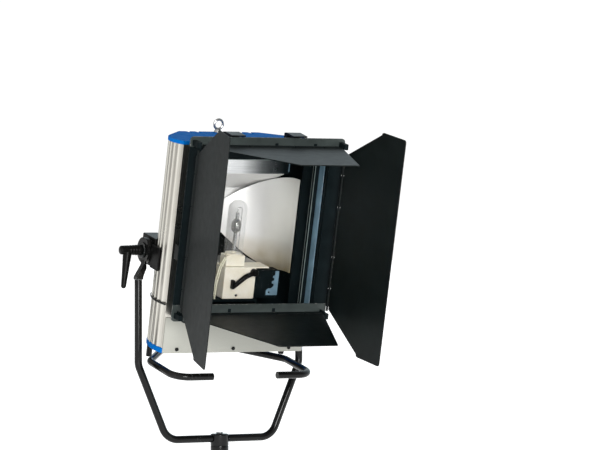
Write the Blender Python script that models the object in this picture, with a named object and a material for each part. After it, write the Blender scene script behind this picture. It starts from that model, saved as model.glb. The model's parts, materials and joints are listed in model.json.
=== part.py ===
"""Open-face flood light in a tubular yoke: Blender 4.5 model, metres, +Z up.

The yoke stands upright on its spigot. The head hangs between the yoke ends and leans forward by
HEAD_TILT. Head parts are drawn in the head's own frame, with its origin at the centre of the tilt
axis, -Y to the front and +Z up, and are parented to the head empty.
"""

import math

import bmesh
import bpy
from mathutils import Matrix, Vector

# Driving dimensions, in metres
HEAD_TILT = math.radians(13.5)
GAP = 0.0003                 # clearance between touching parts

FRONT_Y = -0.110             # plane of the lower front panel
REAR_Y = 0.065               # plane of the rear cover
HEAD_LOW = -0.203
HEAD_TOP = 0.266             # top of the roof at the front, from where it falls to the rear
ROOF_SLOPE = 0.080
ROOF_H = 0.008               # height of the blue roof and of the blue caps under the sides
CAP_H = 0.012
CAP_LIP = 0.001              # the caps stand this far past the extrusions
CAP_DEPTH = 0.030
NOTCH_HALF = 0.004           # notches in the roof's rear edge
NOTCH_DEEP = 0.024

SIDE_RADIUS = 0.118          # curved side extrusions, seen from above
SIDE_CENTRE = (0.061, -0.075)
SIDE_ARC_END = math.radians(40)
SIDE_WALL = 0.006
FLUTE_DEPTH = 0.0022
FLUTE_COUNT = 11
FLUTE_SHAPE = ((0.0, 0.0), (0.14, 0.0), (0.24, 1.0), (0.76, 1.0), (0.86, 0.0))     # (place, depth)
FLANGE = 0.003               # front flange of the side extrusions

HOUSING_HALF = 0.159         # black front housing round the light's mouth
HOUSING_WALL = 0.006
HOUSING_LOW = -0.122
HOUSING_TOP = 0.262
HOUSING_FRONT = -0.164

GLASS_FACE = -0.1237
PANEL_FACE = FRONT_Y - 0.0023
VENT_PITCH = 0.013           # rear vent slots
VENT_HALF = 0.022
VENT_H = 0.0036

FRAME_Y = -0.168             # front face of the barndoor frame
FRAME_BACK = -0.1645
FRAME_HALF = 0.188
FRAME_MID_Z = 0.0856
FRAME_HALF_H = 0.2023
OPEN_HALF = 0.155
OPEN_LOW = -0.080
OPEN_TOP = 0.266

CORNER_X, CORNER_Z = 0.1725, 0.1768     # inner faces of the corner blocks that hold the hinge rods
CORNER_FRONT = -0.1965

HINGE_ROD_R = 0.0025
KNUCKLE_R = 0.0044
KNUCKLE_BORE = 0.0028
SIDE_HINGE = (0.178, -0.1908)       # |x| and y of the side hinges
END_HINGE_Y = -0.1831
END_HINGE_OFFSET = 0.1842           # top and bottom hinges from the frame's middle
KNUCKLE_BREAKS = (-0.126, -0.0555, 0.0555, 0.126)
KNUCKLE_GAP = 0.003
SHEET = 0.002

BIG_LEAF_W = 0.207
BIG_LEAF_CUT = 0.122
BIG_LEAF_HALF = 0.2475
BIG_LEAF_ROOT = 0.172
OPEN_ANGLE_LEFT = math.radians(10.5)
OPEN_ANGLE_RIGHT = math.radians(6.8)
SMALL_LEAF_W = 0.258
SMALL_LEAF_ROOT = 0.171
SMALL_LEAF_TIP = 0.070
OPEN_ANGLE_TOP = math.radians(3.8)
OPEN_ANGLE_BOTTOM = math.radians(0.3)

BLOCK_IN = 0.140             # friction blocks, from inside the extrusions to the yoke ends
BLOCK_OUT = 0.1772
BAND_Z = -0.094

YOKE_TUBE_R = 0.0083
YOKE_HALF = 0.199
YOKE_BEND_Z = -0.250
YOKE_END_LOW = -0.064        # where the tube meets the flattened yoke end
YOKE_END_IN = 0.1775         # faces of the disc on the tilt axis
YOKE_END_OUT = 0.1885
YOKE_DISC_R = 0.028
YOKE_BAR_HALF = 0.129
YOKE_BAR_Z = -0.4145
YOKE_BEND_R = 0.040
BOSS_R = 0.020
BOSS_BELOW = 0.030           # boss below and above the middle of the yoke's bar
BOSS_ABOVE = 0.0105
SPIGOT_R = 0.01429           # 28.6 mm, the 1-1/8 inch lighting spigot
SPIGOT_H = 0.080
PIVOT_Z = SPIGOT_H + GAP + BOSS_BELOW - YOKE_BAR_Z      # tilt axis above the spigot's end

SKID_R = 0.0078
SKID_Z = -0.2375
SKID_HALF = 0.168
SKID_FRONT = -0.180
SKID_END = 0.079

EYE_X, EYE_Y = -0.008, 0.054
EYE_R = 0.0105               # middle line of the lifting eye's ring
EYE_WIRE_R = 0.0028
EYE_STEM_R = 0.0085
GLAND_X, GLAND_Z = 0.045, -0.165
CATCH_X = 0.075

REFLECTOR_HALF = 0.122
REFLECTOR_FRONT = -0.105
REFLECTOR_DEEP = 0.030       # deepest line of the mirror, behind the lamp
REFLECTOR_SHEET = 0.0012
REFLECTOR_LOW_FROM = 0.88    # share of the half width beyond which the lower edge rises again

LAMP_Y = -0.064
LAMP_Z = 0.070
LAMP_R = 0.021
HOLDER_TOP = -0.018

COLOURS = {
    "black_gloss": ((0.012, 0.012, 0.013), 0.22, 0.0),
    "black_satin": ((0.020, 0.020, 0.021), 0.45, 0.0),
    "leaf_black": ((0.045, 0.047, 0.046), 0.55, 0.0),
    "aluminium": ((0.62, 0.60, 0.55), 0.35, 1.0),
    "panel_silver": ((0.70, 0.70, 0.67), 0.40, 0.6),
    "blue_plastic": ((0.0, 0.13, 0.45), 0.35, 0.0),
    "reflector": ((0.90, 0.90, 0.88), 0.12, 1.0),
    "steel": ((0.55, 0.55, 0.56), 0.28, 1.0),
    "glass": ((0.92, 0.96, 0.96), 0.03, 0.0),
    "quartz": ((0.96, 0.96, 0.98), 0.02, 0.0),
    "ceramic": ((0.86, 0.84, 0.78), 0.50, 0.0),
    "ivory": ((0.80, 0.76, 0.64), 0.45, 0.0),
}


# Scene and material helpers

def clear_scene():
    for obj in list(bpy.data.objects):
        bpy.data.objects.remove(obj, do_unlink=True)


def make_material(name):
    colour, roughness, metallic = COLOURS[name]
    material = bpy.data.materials.new(name)
    material.use_nodes = True
    shader = material.node_tree.nodes["Principled BSDF"]
    shader.inputs["Base Color"].default_value = (*colour, 1.0)
    shader.inputs["Roughness"].default_value = roughness
    shader.inputs["Metallic"].default_value = metallic
    return material


def make_collection(name):
    collection = bpy.data.collections.new(name)
    bpy.context.scene.collection.children.link(collection)
    return collection


clear_scene()
MATERIALS = {name: make_material(name) for name in COLOURS}
PARTS = make_collection("open_face_flood_light")
ROOT = bpy.data.objects.new("yoke_frame", None)
HEAD = bpy.data.objects.new("head_frame", None)
for empty in (ROOT, HEAD):
    PARTS.objects.link(empty)
    empty.location = (0, 0, PIVOT_Z)
HEAD.rotation_euler = (HEAD_TILT, 0, 0)


# Mesh helpers

def add(name, mesh, material, parent=HEAD):
    obj = bpy.data.objects.new(name, mesh)
    mesh.materials.clear()
    mesh.materials.append(MATERIALS[material])
    PARTS.objects.link(obj)
    obj.parent = parent
    mesh.shade_smooth()
    mesh.set_sharp_from_angle(angle=math.radians(35))
    return obj


def mesh_from(build):
    """A mesh made by the function build, which fills a bmesh."""
    mesh = bpy.data.meshes.new("shape")
    shape = bmesh.new()
    build(shape)
    bmesh.ops.recalc_face_normals(shape, faces=shape.faces)
    shape.to_mesh(mesh)
    shape.free()
    return mesh


def box_mesh(low, high, bevel=0.0, segments=2):
    """A block between two corners, with rounded edges."""
    low, high = Vector(low), Vector(high)

    def build(shape):
        size = Matrix.Diagonal((*(high - low), 1))
        bmesh.ops.create_cube(shape, size=1, matrix=Matrix.Translation((low + high) / 2) @ size)
        if bevel:
            bmesh.ops.bevel(shape, geom=shape.edges[:], offset=bevel, segments=segments,
                            affect="EDGES", profile=0.5)
    return mesh_from(build)


def rod_mesh(start, end, radius, end_radius=None, sides=20, chamfer=0.0):
    """A straight round bar or cone between two points."""
    start, end = Vector(start), Vector(end)
    along = end - start
    turn = along.to_track_quat("Z", "Y").to_matrix().to_4x4()

    def build(shape):
        bmesh.ops.create_cone(shape, cap_ends=True, segments=sides, radius1=radius,
                              radius2=radius if end_radius is None else end_radius,
                              depth=along.length,
                              matrix=Matrix.Translation((start + end) / 2) @ turn)
        if chamfer:
            rims = [e for e in shape.edges if any(len(f.verts) > 4 for f in e.link_faces)]
            bmesh.ops.bevel(shape, geom=rims, offset=chamfer, segments=1, affect="EDGES")
    return mesh_from(build)


def curve_to_mesh(curve):
    """The mesh of a curve, with its caps welded on."""
    guide = bpy.data.objects.new("guide", curve)
    bpy.context.scene.collection.objects.link(guide)
    bpy.context.view_layer.update()
    graph = bpy.context.evaluated_depsgraph_get()
    mesh = bpy.data.meshes.new_from_object(guide.evaluated_get(graph))
    bpy.data.objects.remove(guide)
    shape = bmesh.new()
    shape.from_mesh(mesh)
    bmesh.ops.remove_doubles(shape, verts=shape.verts, dist=0.00002)
    bmesh.ops.recalc_face_normals(shape, faces=shape.faces)
    shape.to_mesh(mesh)
    shape.free()
    return mesh


PLANES = {
    "plan": Matrix.Identity(4),
    "front": Matrix(((1, 0, 0, 0), (0, 0, -1, 0), (0, 1, 0, 0), (0, 0, 0, 1))),
    "side": Matrix(((0, 0, 1, 0), (1, 0, 0, 0), (0, 1, 0, 0), (0, 0, 0, 1))),
}


def slab_mesh(loops, low, high, plane, bevel=0.0):
    """An outline, with any holes, as a plate from low to high across its plane.

    Plan outlines are (x, y), front outlines (x, z) and side outlines (y, z).
    """
    curve = bpy.data.curves.new("outline", "CURVE")
    curve.dimensions = "2D"
    curve.fill_mode = "BOTH"
    curve.extrude = (high - low) / 2
    for loop in loops:
        spline = curve.splines.new("POLY")
        spline.points.add(len(loop) - 1)
        for point, (across, up) in zip(spline.points, loop):
            point.co = (across, up, 0, 1)
        spline.use_cyclic_u = True
    mesh = curve_to_mesh(curve)
    middle = (low + high) / 2
    shift = -middle if plane == "front" else middle
    mesh.transform(PLANES[plane] @ Matrix.Translation((0, 0, shift)))
    if bevel:
        shape = bmesh.new()
        shape.from_mesh(mesh)
        rims = [e for e in shape.edges if e.calc_face_angle(0) > math.radians(60)]
        bmesh.ops.bevel(shape, geom=rims, offset=bevel, segments=1, affect="EDGES")
        shape.to_mesh(mesh)
        shape.free()
    return mesh


def tube_mesh(points, radius, resolution=3):
    """A round tube along a line of points, with filled ends."""
    curve = bpy.data.curves.new("tube", "CURVE")
    curve.dimensions = "3D"
    curve.bevel_depth = radius
    curve.bevel_resolution = resolution
    curve.use_fill_caps = True
    spline = curve.splines.new("POLY")
    spline.points.add(len(points) - 1)
    for point, place in zip(spline.points, points):
        point.co = (*place, 1)
    return curve_to_mesh(curve)


def union(*meshes):
    """One closed mesh from several that overlap."""
    base = bpy.data.objects.new("base", meshes[0])
    bpy.context.scene.collection.objects.link(base)
    extras = []
    for mesh in meshes[1:]:
        extra = bpy.data.objects.new("extra", mesh)
        bpy.context.scene.collection.objects.link(extra)
        extras.append(extra)
        step = base.modifiers.new("join", "BOOLEAN")
        step.operation = "UNION"
        step.solver = "EXACT"
        step.object = extra
    return apply_booleans(base, extras)


def cut(mesh, *cutters):
    """The mesh with the cutters taken away."""
    base = bpy.data.objects.new("base", mesh)
    bpy.context.scene.collection.objects.link(base)
    tools = []
    for cutter in cutters:
        tool = bpy.data.objects.new("tool", cutter)
        bpy.context.scene.collection.objects.link(tool)
        tools.append(tool)
        step = base.modifiers.new("cut", "BOOLEAN")
        step.operation = "DIFFERENCE"
        step.solver = "EXACT"
        step.object = tool
    return apply_booleans(base, tools)


def apply_booleans(base, helpers):
    bpy.context.view_layer.update()
    graph = bpy.context.evaluated_depsgraph_get()
    mesh = bpy.data.meshes.new_from_object(base.evaluated_get(graph))
    for helper in [base, *helpers]:
        bpy.data.objects.remove(helper)
    shape = bmesh.new()
    shape.from_mesh(mesh)
    bmesh.ops.remove_doubles(shape, verts=shape.verts, dist=0.000005)
    shape.to_mesh(mesh)
    shape.free()
    return mesh


def pivot_at(obj, point):
    """Moves an object's origin to a point of its parent's frame."""
    obj.data.transform(Matrix.Translation(-Vector(point)))
    obj.location = point


def mirrored(mesh):
    """A copy of a mesh on the other side of the YZ plane."""
    copy = mesh.copy()
    copy.transform(Matrix.Diagonal((-1, 1, 1, 1)))
    copy.flip_normals()
    return copy


# Outline helpers

def rounded(points, radius, steps=4):
    """A closed outline with its corners turned to arcs. radius may be one value or one a corner."""
    radii = radius if isinstance(radius, (list, tuple)) else [radius] * len(points)
    outline = []
    for index, corner in enumerate(points):
        here = Vector(corner)
        before = (Vector(points[index - 1]) - here).normalized()
        after = (Vector(points[(index + 1) % len(points)]) - here).normalized()
        if radii[index] == 0:
            outline.append(tuple(here))
            continue
        half = before.angle(after) / 2
        reach = radii[index] / math.tan(half)
        centre = here + (before + after).normalized() * radii[index] / math.sin(half)
        first = here + before * reach - centre
        last = here + after * reach - centre
        for step in range(steps + 1):
            swing = first.slerp(last, step / steps).normalized() * radii[index]
            outline.append(tuple(centre + swing))
    return outline


def rectangle(x0, x1, z0, z1):
    return [(x0, z0), (x1, z0), (x1, z1), (x0, z1)]


def circle(cx, cy, radius, sides=24):
    angles = [2 * math.pi * i / sides for i in range(sides)]
    return [(cx + radius * math.cos(a), cy + radius * math.sin(a)) for a in angles]


def filleted_path(corners, radius, steps=5):
    """An open line of points with each inner corner turned to an arc."""
    path = [Vector(corners[0])]
    for index in range(1, len(corners) - 1):
        here = Vector(corners[index])
        before = (Vector(corners[index - 1]) - here).normalized()
        after = (Vector(corners[index + 1]) - here).normalized()
        half = before.angle(after) / 2
        reach = radius / math.tan(half)
        centre = here + (before + after).normalized() * radius / math.sin(half)
        first = here + before * reach - centre
        last = here + after * reach - centre
        for step in range(steps + 1):
            path.append(centre + first.slerp(last, step / steps).normalized() * radius)
    path.append(Vector(corners[-1]))
    return path


def side_line(inset):
    """Points down one side of the head seen from above, on +X, from the front to the rear."""
    cx, cy = SIDE_CENTRE
    radius = SIDE_RADIUS - inset
    start = math.asin((FRONT_Y - cy) / radius)
    steps = 10
    line = []
    for step in range(steps + 1):
        angle = start + (SIDE_ARC_END - start) * step / steps
        line.append((cx + radius * math.cos(angle), cy + radius * math.sin(angle)))
    x, y = line[-1]
    slope = math.tan(SIDE_ARC_END)
    line.append((x - (REAR_Y - y) * slope, REAR_Y))
    return line


def plan_outline(inset):
    """The whole head seen from above."""
    right = side_line(inset)
    return right + [(-x, y) for x, y in reversed(right)]


# Yoke

def build_yoke():
    """Two bent tubes that meet at the boss for the spigot, with a flattened end on each."""
    for side, word in ((-1, "left"), (1, "right")):
        corners = [
            (side * (BOSS_R + GAP), 0, YOKE_BAR_Z),
            (side * YOKE_BAR_HALF, 0, YOKE_BAR_Z),
            (side * YOKE_HALF, 0, YOKE_BEND_Z),
            (side * YOKE_HALF, 0, YOKE_END_LOW - GAP),
        ]
        path = filleted_path(corners, YOKE_BEND_R, 6)
        add(f"yoke_arm_{word}", tube_mesh(path, YOKE_TUBE_R, 4), "black_gloss", ROOT)
        build_yoke_end(side, word)
    boss = rod_mesh((0, 0, YOKE_BAR_Z - BOSS_BELOW), (0, 0, YOKE_BAR_Z + BOSS_ABOVE), BOSS_R,
                    sides=32, chamfer=0.002)
    add("spigot_boss", boss, "black_gloss", ROOT)
    floor = -PIVOT_Z
    profile = [(0, 0), (0.0115, 0), (SPIGOT_R, 0.003), (SPIGOT_R, 0.028), (0.0125, 0.031),
               (0.0125, 0.042), (SPIGOT_R, 0.045), (SPIGOT_R, SPIGOT_H), (0, SPIGOT_H)]
    turned = turned_mesh([(r, floor + z) for r, z in profile])
    add("spigot", turned, "steel", ROOT)
    top = YOKE_BAR_Z + BOSS_ABOVE + GAP
    bolt = rod_mesh((0, 0, top), (0, 0, top + 0.003), 0.008, sides=24, chamfer=0.0008)
    add("spigot_bolt", bolt, "black_satin", ROOT)


def turned_mesh(profile, sides=32):
    """A solid of revolution about Z through the origin. The profile runs up from the axis and back."""
    mesh = bpy.data.meshes.new("profile")
    shape = bmesh.new()
    points = [shape.verts.new((radius, 0, height)) for radius, height in profile]
    for first, second in zip(points, points[1:]):
        shape.edges.new((first, second))
    bmesh.ops.spin(shape, geom=shape.verts[:] + shape.edges[:], cent=(0, 0, 0), axis=(0, 0, 1),
                   angle=2 * math.pi, steps=sides, use_duplicate=False)
    bmesh.ops.remove_doubles(shape, verts=shape.verts, dist=0.00002)
    bmesh.ops.recalc_face_normals(shape, faces=shape.faces)
    shape.to_mesh(mesh)
    shape.free()
    return mesh


def build_yoke_end(side, word):
    """The flattened end of a yoke arm: a disc on the tilt axis with a neck down to the tube."""
    disc = circle(0, 0, YOKE_DISC_R, 32)
    low, high = sorted((side * YOKE_END_IN, side * YOKE_END_OUT))
    neck = [(0.1830, -0.012), (0.1880, -0.012), (0.1890, -0.030), (0.2065, -0.058),
            (0.2065, YOKE_END_LOW), (0.1915, YOKE_END_LOW), (0.1900, -0.056), (0.1830, -0.040)]
    plate = union(slab_mesh([disc], low, high, "side"),
                  slab_mesh([[(side * x, z) for x, z in neck]], -0.0085, 0.0085, "front"))
    add(f"yoke_end_{word}", plate, "black_gloss", ROOT)
    inner, outer = side * (YOKE_END_OUT + GAP), side * (YOKE_END_OUT + 0.004)
    head = rod_mesh((inner, 0, 0), (outer, 0, 0), 0.017, sides=24, chamfer=0.001)
    if side > 0:
        grip = rod_mesh((YOKE_END_OUT + 0.0035, 0, 0), (YOKE_END_OUT + 0.0175, 0, 0), 0.0095, sides=6)
        head = union(head, grip)
    add(f"pivot_washer_{word}" if side < 0 else "pivot_bolt_right", head, "black_satin", ROOT)


def build_lock_lever():
    """Clamping lever on the tilt axis: a hub with a tapered arm hanging from it."""
    inner, outer = -0.1929, -0.243
    hub = rod_mesh((inner, 0, 0), (outer, 0, 0), 0.0118, 0.0095, sides=24, chamfer=0.002)
    arm = rod_mesh((-0.2250, 0, -0.004), (-0.2350, 0, -0.0825), 0.0098, 0.0050, sides=20, chamfer=0.0015)
    lever = add("lock_lever", union(hub, arm), "black_satin", ROOT)
    pivot_at(lever, (-0.2, 0, 0))


# Head shell

def roof_z(y):
    """Height of the roof's top at a distance behind the front."""
    return HEAD_TOP - (y - FRONT_Y) * ROOF_SLOPE


def slope_top(mesh, top, drop):
    """Moves the points at the height top to a distance drop below the sloping roof."""
    for point in mesh.vertices:
        if abs(point.co.z - top) < 0.0001:
            point.co.z = roof_z(point.co.y) - drop
    return mesh


def build_side_profiles():
    """Fluted aluminium extrusions, each a curved wall with a flange along the front."""
    outer = side_line(0)
    lengths = [0.0]
    for first, second in zip(outer, outer[1:]):
        lengths.append(lengths[-1] + (Vector(second) - Vector(first)).length)
    total = lengths[-1]
    flange_edge = HOUSING_HALF + GAP
    wavy = [(flange_edge, FRONT_Y)]
    for flute in range(FLUTE_COUNT):
        for share, depth in FLUTE_SHAPE:
            where = total * (flute + share) / FLUTE_COUNT
            wavy.append(point_along(outer, lengths, where, FLUTE_DEPTH * depth))
    wavy.append(point_along(outer, lengths, total - 1e-6, 0))
    inner = side_line(SIDE_WALL)
    inner[0] = (inner[0][0], FRONT_Y + FLANGE)
    wall = wavy + list(reversed(inner)) + [(flange_edge, FRONT_Y + FLANGE)]
    mesh = slab_mesh([wall], HEAD_LOW + CAP_H + GAP, HEAD_TOP, "plan")
    slope_top(mesh, HEAD_TOP, ROOF_H + GAP)
    add("side_profile_right", mesh, "aluminium")
    add("side_profile_left", mirrored(mesh), "aluminium")


def point_along(line, lengths, where, inset):
    """The point at a distance along a line, moved in towards the head by inset."""
    index = next(i for i in range(1, len(lengths)) if lengths[i] >= where)
    share = (where - lengths[index - 1]) / (lengths[index] - lengths[index - 1])
    first, second = Vector(line[index - 1]), Vector(line[index])
    along = (second - first).normalized()
    inward = Vector((-along.y, along.x))
    return tuple(first.lerp(second, share) + inward * inset)


def build_end_caps():
    """Blue moulded roof, and a blue cap under each side extrusion."""
    roof = slab_mesh([plan_outline(-CAP_LIP)], HEAD_TOP - ROOF_H, HEAD_TOP, "plan")
    for point in roof.vertices:
        point.co.z += roof_z(point.co.y) - HEAD_TOP
    notches = []
    for x in (-0.076, -0.0535, 0.0535, 0.076):
        low = (x - NOTCH_HALF, REAR_Y - NOTCH_DEEP, 0.2)
        notches.append(box_mesh(low, (x + NOTCH_HALF, REAR_Y + 0.02, 0.3)))
    add("top_cover", cut(roof, *notches), "blue_plastic")
    outline = side_line(-CAP_LIP) + list(reversed(side_line(CAP_DEPTH)))
    cap = slab_mesh([outline], HEAD_LOW, HEAD_LOW + CAP_H, "plan", bevel=0.002)
    add("bottom_cap_right", cap, "blue_plastic")
    add("bottom_cap_left", mirrored(cap), "blue_plastic")


def build_base_and_rear():
    """Base plate between the blue caps, and the rear cover with its rows of vent slots."""
    floor = slab_mesh([plan_outline(CAP_DEPTH + 0.0005)], HEAD_LOW + 0.002, HEAD_LOW + 0.008, "plan")
    add("base_plate", floor, "black_satin")
    half = side_line(SIDE_WALL)[-1][0] - 0.001
    bottom, top = HEAD_LOW + CAP_H + GAP, roof_z(REAR_Y) - ROOF_H - GAP
    slots = []
    for first, rows in ((-0.150, 4), (0.110, 5)):
        for row in range(rows):
            z = first + row * VENT_PITCH
            for x in (-0.052, 0, 0.052):
                slot = rectangle(x - VENT_HALF, x + VENT_HALF, z, z + VENT_H)
                slots.append(rounded(slot, VENT_H / 2 - 0.0001, 2))
    outline = rectangle(-half, half, bottom, top)
    add("rear_cover", slab_mesh([outline, *slots], REAR_Y - 0.003, REAR_Y, "front"), "black_satin")


def build_front_panel():
    """Lower front panel with its three screws, in front of the extrusions' flanges."""
    half = side_line(0)[0][0] - 0.0015
    panel = slab_mesh([rounded(rectangle(-half, half, HEAD_LOW, HOUSING_LOW - GAP), 0.003)],
                      PANEL_FACE, FRONT_Y - GAP, "front")
    add("lower_front_panel", panel, "panel_silver")
    z = HEAD_LOW + 0.009
    face = PANEL_FACE - GAP
    for word, x in (("left", -0.138), ("middle", 0.0), ("right", 0.138)):
        screw = rod_mesh((x, face, z), (x, face - 0.0022, z), 0.0042, 0.0034, sides=16)
        add(f"panel_screw_{word}", screw, "steel")


def build_front_housing():
    """Black box round the light's mouth, from the front plane to the barndoor frame."""
    outer = rounded(rectangle(-HOUSING_HALF, HOUSING_HALF, HOUSING_LOW, HOUSING_TOP), 0.006)
    half, low, high = HOUSING_HALF - HOUSING_WALL, -0.112, 0.244
    housing = slab_mesh([outer, rectangle(-half, half, low, high)], HOUSING_FRONT, FRONT_Y - GAP, "front")
    add("front_housing", housing, "black_satin")
    seat = 0.0005
    ring_outer = rectangle(-half + seat, half - seat, low + seat, high - seat)
    ring_inner = rounded(rectangle(-0.141, 0.141, -0.096, 0.232), 0.008)
    ring = slab_mesh([ring_outer, ring_inner], -0.134, GLASS_FACE - GAP, "front")
    add("glass_frame", ring, "black_satin")
    pane = rectangle(-0.147, 0.147, -0.103, 0.239)
    add("safety_glass", slab_mesh([pane], GLASS_FACE, GLASS_FACE + 0.004, "front"), "glass")


def build_inner_mask():
    """Black plate behind the housing, with a window that the reflector and the lamp show through."""
    outer = rectangle(-0.157, 0.157, -0.118, 0.2435)
    window = rounded(rectangle(-0.1245, 0.1245, -0.106, 0.238), 0.004)
    add("inner_mask", slab_mesh([outer, window], FRONT_Y + GAP, FRONT_Y + 0.0015, "front"), "black_satin")


def build_side_details():
    """Friction blocks on the tilt axis, black bands round the extrusions, accessory brackets."""
    shell = slab_mesh([plan_outline(-0.0004)], -0.05, 0.05, "plan")
    band_edge = side_line(-0.0015)[:10] + list(reversed(side_line(-0.0032)[:10]))
    band = slab_mesh([band_edge], BAND_Z - 0.002, BAND_Z + 0.002, "plan")
    for side, word in ((-1, "left"), (1, "right")):
        boss = rod_mesh((side * BLOCK_IN, 0, 0), (side * BLOCK_OUT, 0, 0), 0.027, sides=28)
        foot = block_between(side, -0.032, 0.032, -0.032, 0.032, BLOCK_OUT - 0.0014)
        wing = block_between(side, -0.067, -0.028, -0.0315, 0.020, 0.1825)
        block = cut(union(foot, boss, wing), shell.copy())
        add(f"pivot_block_{word}", block, "black_satin")
        add(f"side_band_{word}", mirrored(band) if side < 0 else band, "black_satin")
        low, high = sorted((side * (HOUSING_HALF + GAP), side * 0.177))
        bracket = box_mesh((low, -0.146, 0.012), (high, -0.126, 0.044), 0.0015)
        add(f"accessory_bracket_{word}", bracket, "black_satin")


def block_between(side, y_front, y_rear, z_low, z_high, x_out):
    """A rounded block on one side of the head, from inside the extrusion out to x_out."""
    x_low, x_high = sorted((side * BLOCK_IN, side * x_out))
    return box_mesh((x_low, y_front, z_low), (x_high, y_rear, z_high), 0.002)


def reflector_point(share, upper, offset):
    """A point on the mirror's upper or lower edge, at a share of the way across from left to right."""
    swing = math.pi * (share - 0.5)
    x = (REFLECTOR_HALF + offset) * math.sin(swing)
    y = REFLECTOR_FRONT + (REFLECTOR_DEEP - REFLECTOR_FRONT + offset) * math.cos(swing)
    spread = abs(math.sin(swing))
    if upper:
        return (x, y, 0.100 + 0.082 * spread)
    middle = max(0, 1 - spread / REFLECTOR_LOW_FROM)
    return (x, y, -0.033 + 0.079 * middle ** 1.25 + 0.05 * max(0, spread - REFLECTOR_LOW_FROM))


def build_reflector():
    """Bent mirror sheet behind the lamp, cut higher in the middle than at its ends."""
    steps = 16

    def build(shape):
        rows = {}
        for offset in (0.0, REFLECTOR_SHEET):
            for upper in (False, True):
                rows[offset, upper] = [shape.verts.new(reflector_point(i / steps, upper, offset))
                                       for i in range(steps + 1)]
        corners = [rows[0.0, False], rows[0.0, True],
                   rows[REFLECTOR_SHEET, True], rows[REFLECTOR_SHEET, False]]
        for line, following in zip(corners, corners[1:] + corners[:1]):
            for i in range(steps):
                shape.faces.new((line[i], line[i + 1], following[i + 1], following[i]))
        for end in (0, steps):
            shape.faces.new([line[end] for line in corners])
    add("reflector_main", mesh_from(build), "reflector")
    build_upper_reflector()


def build_upper_reflector():
    """Bent sheet above the mirror: an upright panel in front, a slope over the mirror and a rear drop."""
    half, panel_half = 0.106, 0.117
    front = -0.0605
    lower = [(front, 0.1845), (0, 0.1562), (0.031, 0.1337), (0.0340, 0.095)]
    upper = [(0.0350, 0.095), (0.0322, 0.1349), (0.0004, 0.1575), (front, 0.1860)]
    slope = slab_mesh([lower + upper], -half, half, "side")
    panel = box_mesh((-panel_half, front, 0.1845), (panel_half, front + 0.0012, 0.2400))
    add("reflector_top", union(slope, panel), "reflector")


def build_lamp():
    """Single-ended discharge lamp: an open-bottomed quartz bulb over an arc tube, on a base."""
    at = Matrix.Translation((0, LAMP_Y, 0))
    top, bottom, wall = 0.128, 0.010, 0.0015
    outer = [(LAMP_R, bottom), (LAMP_R, top - LAMP_R)]
    inner = [(LAMP_R - wall, bottom), (LAMP_R - wall, top - LAMP_R)]
    for step in range(1, 6):
        angle = math.radians(90) * step / 5
        outer.append((LAMP_R * math.cos(angle), top - LAMP_R + LAMP_R * math.sin(angle)))
        radius = LAMP_R - wall
        inner.append((radius * math.cos(angle), top - LAMP_R + radius * math.sin(angle)))
    shell = [(max(r, 0), z) for r, z in list(reversed(inner)) + outer]
    mesh = turned_mesh(shell, 24)
    mesh.transform(at)
    add("lamp_envelope", mesh, "quartz")
    profile = [(0, 0.014), (0.004, 0.014), (0.004, 0.046)]
    for step in range(1, 8):
        angle = math.radians(-90 + 180 * step / 8)
        profile.append((max(0.004, 0.0115 * math.cos(angle)), LAMP_Z + 0.016 * math.sin(angle)))
    profile += [(0.004, 0.100), (0, 0.100)]
    mesh = turned_mesh(profile, 20)
    mesh.transform(at)
    add("arc_tube", mesh, "quartz")
    block = box_mesh((-0.023, LAMP_Y - 0.015, HOLDER_TOP + GAP), (0.023, LAMP_Y + 0.015, 0.006), 0.0015)
    collar = turned_mesh([(0, 0.004), (0.0185, 0.004), (0.0185, 0.0097), (0.005, 0.0097),
                          (0.005, 0.0132), (0, 0.0132)], 24)
    collar.transform(at)
    add("lamp_base", union(block, collar), "ceramic")


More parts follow.
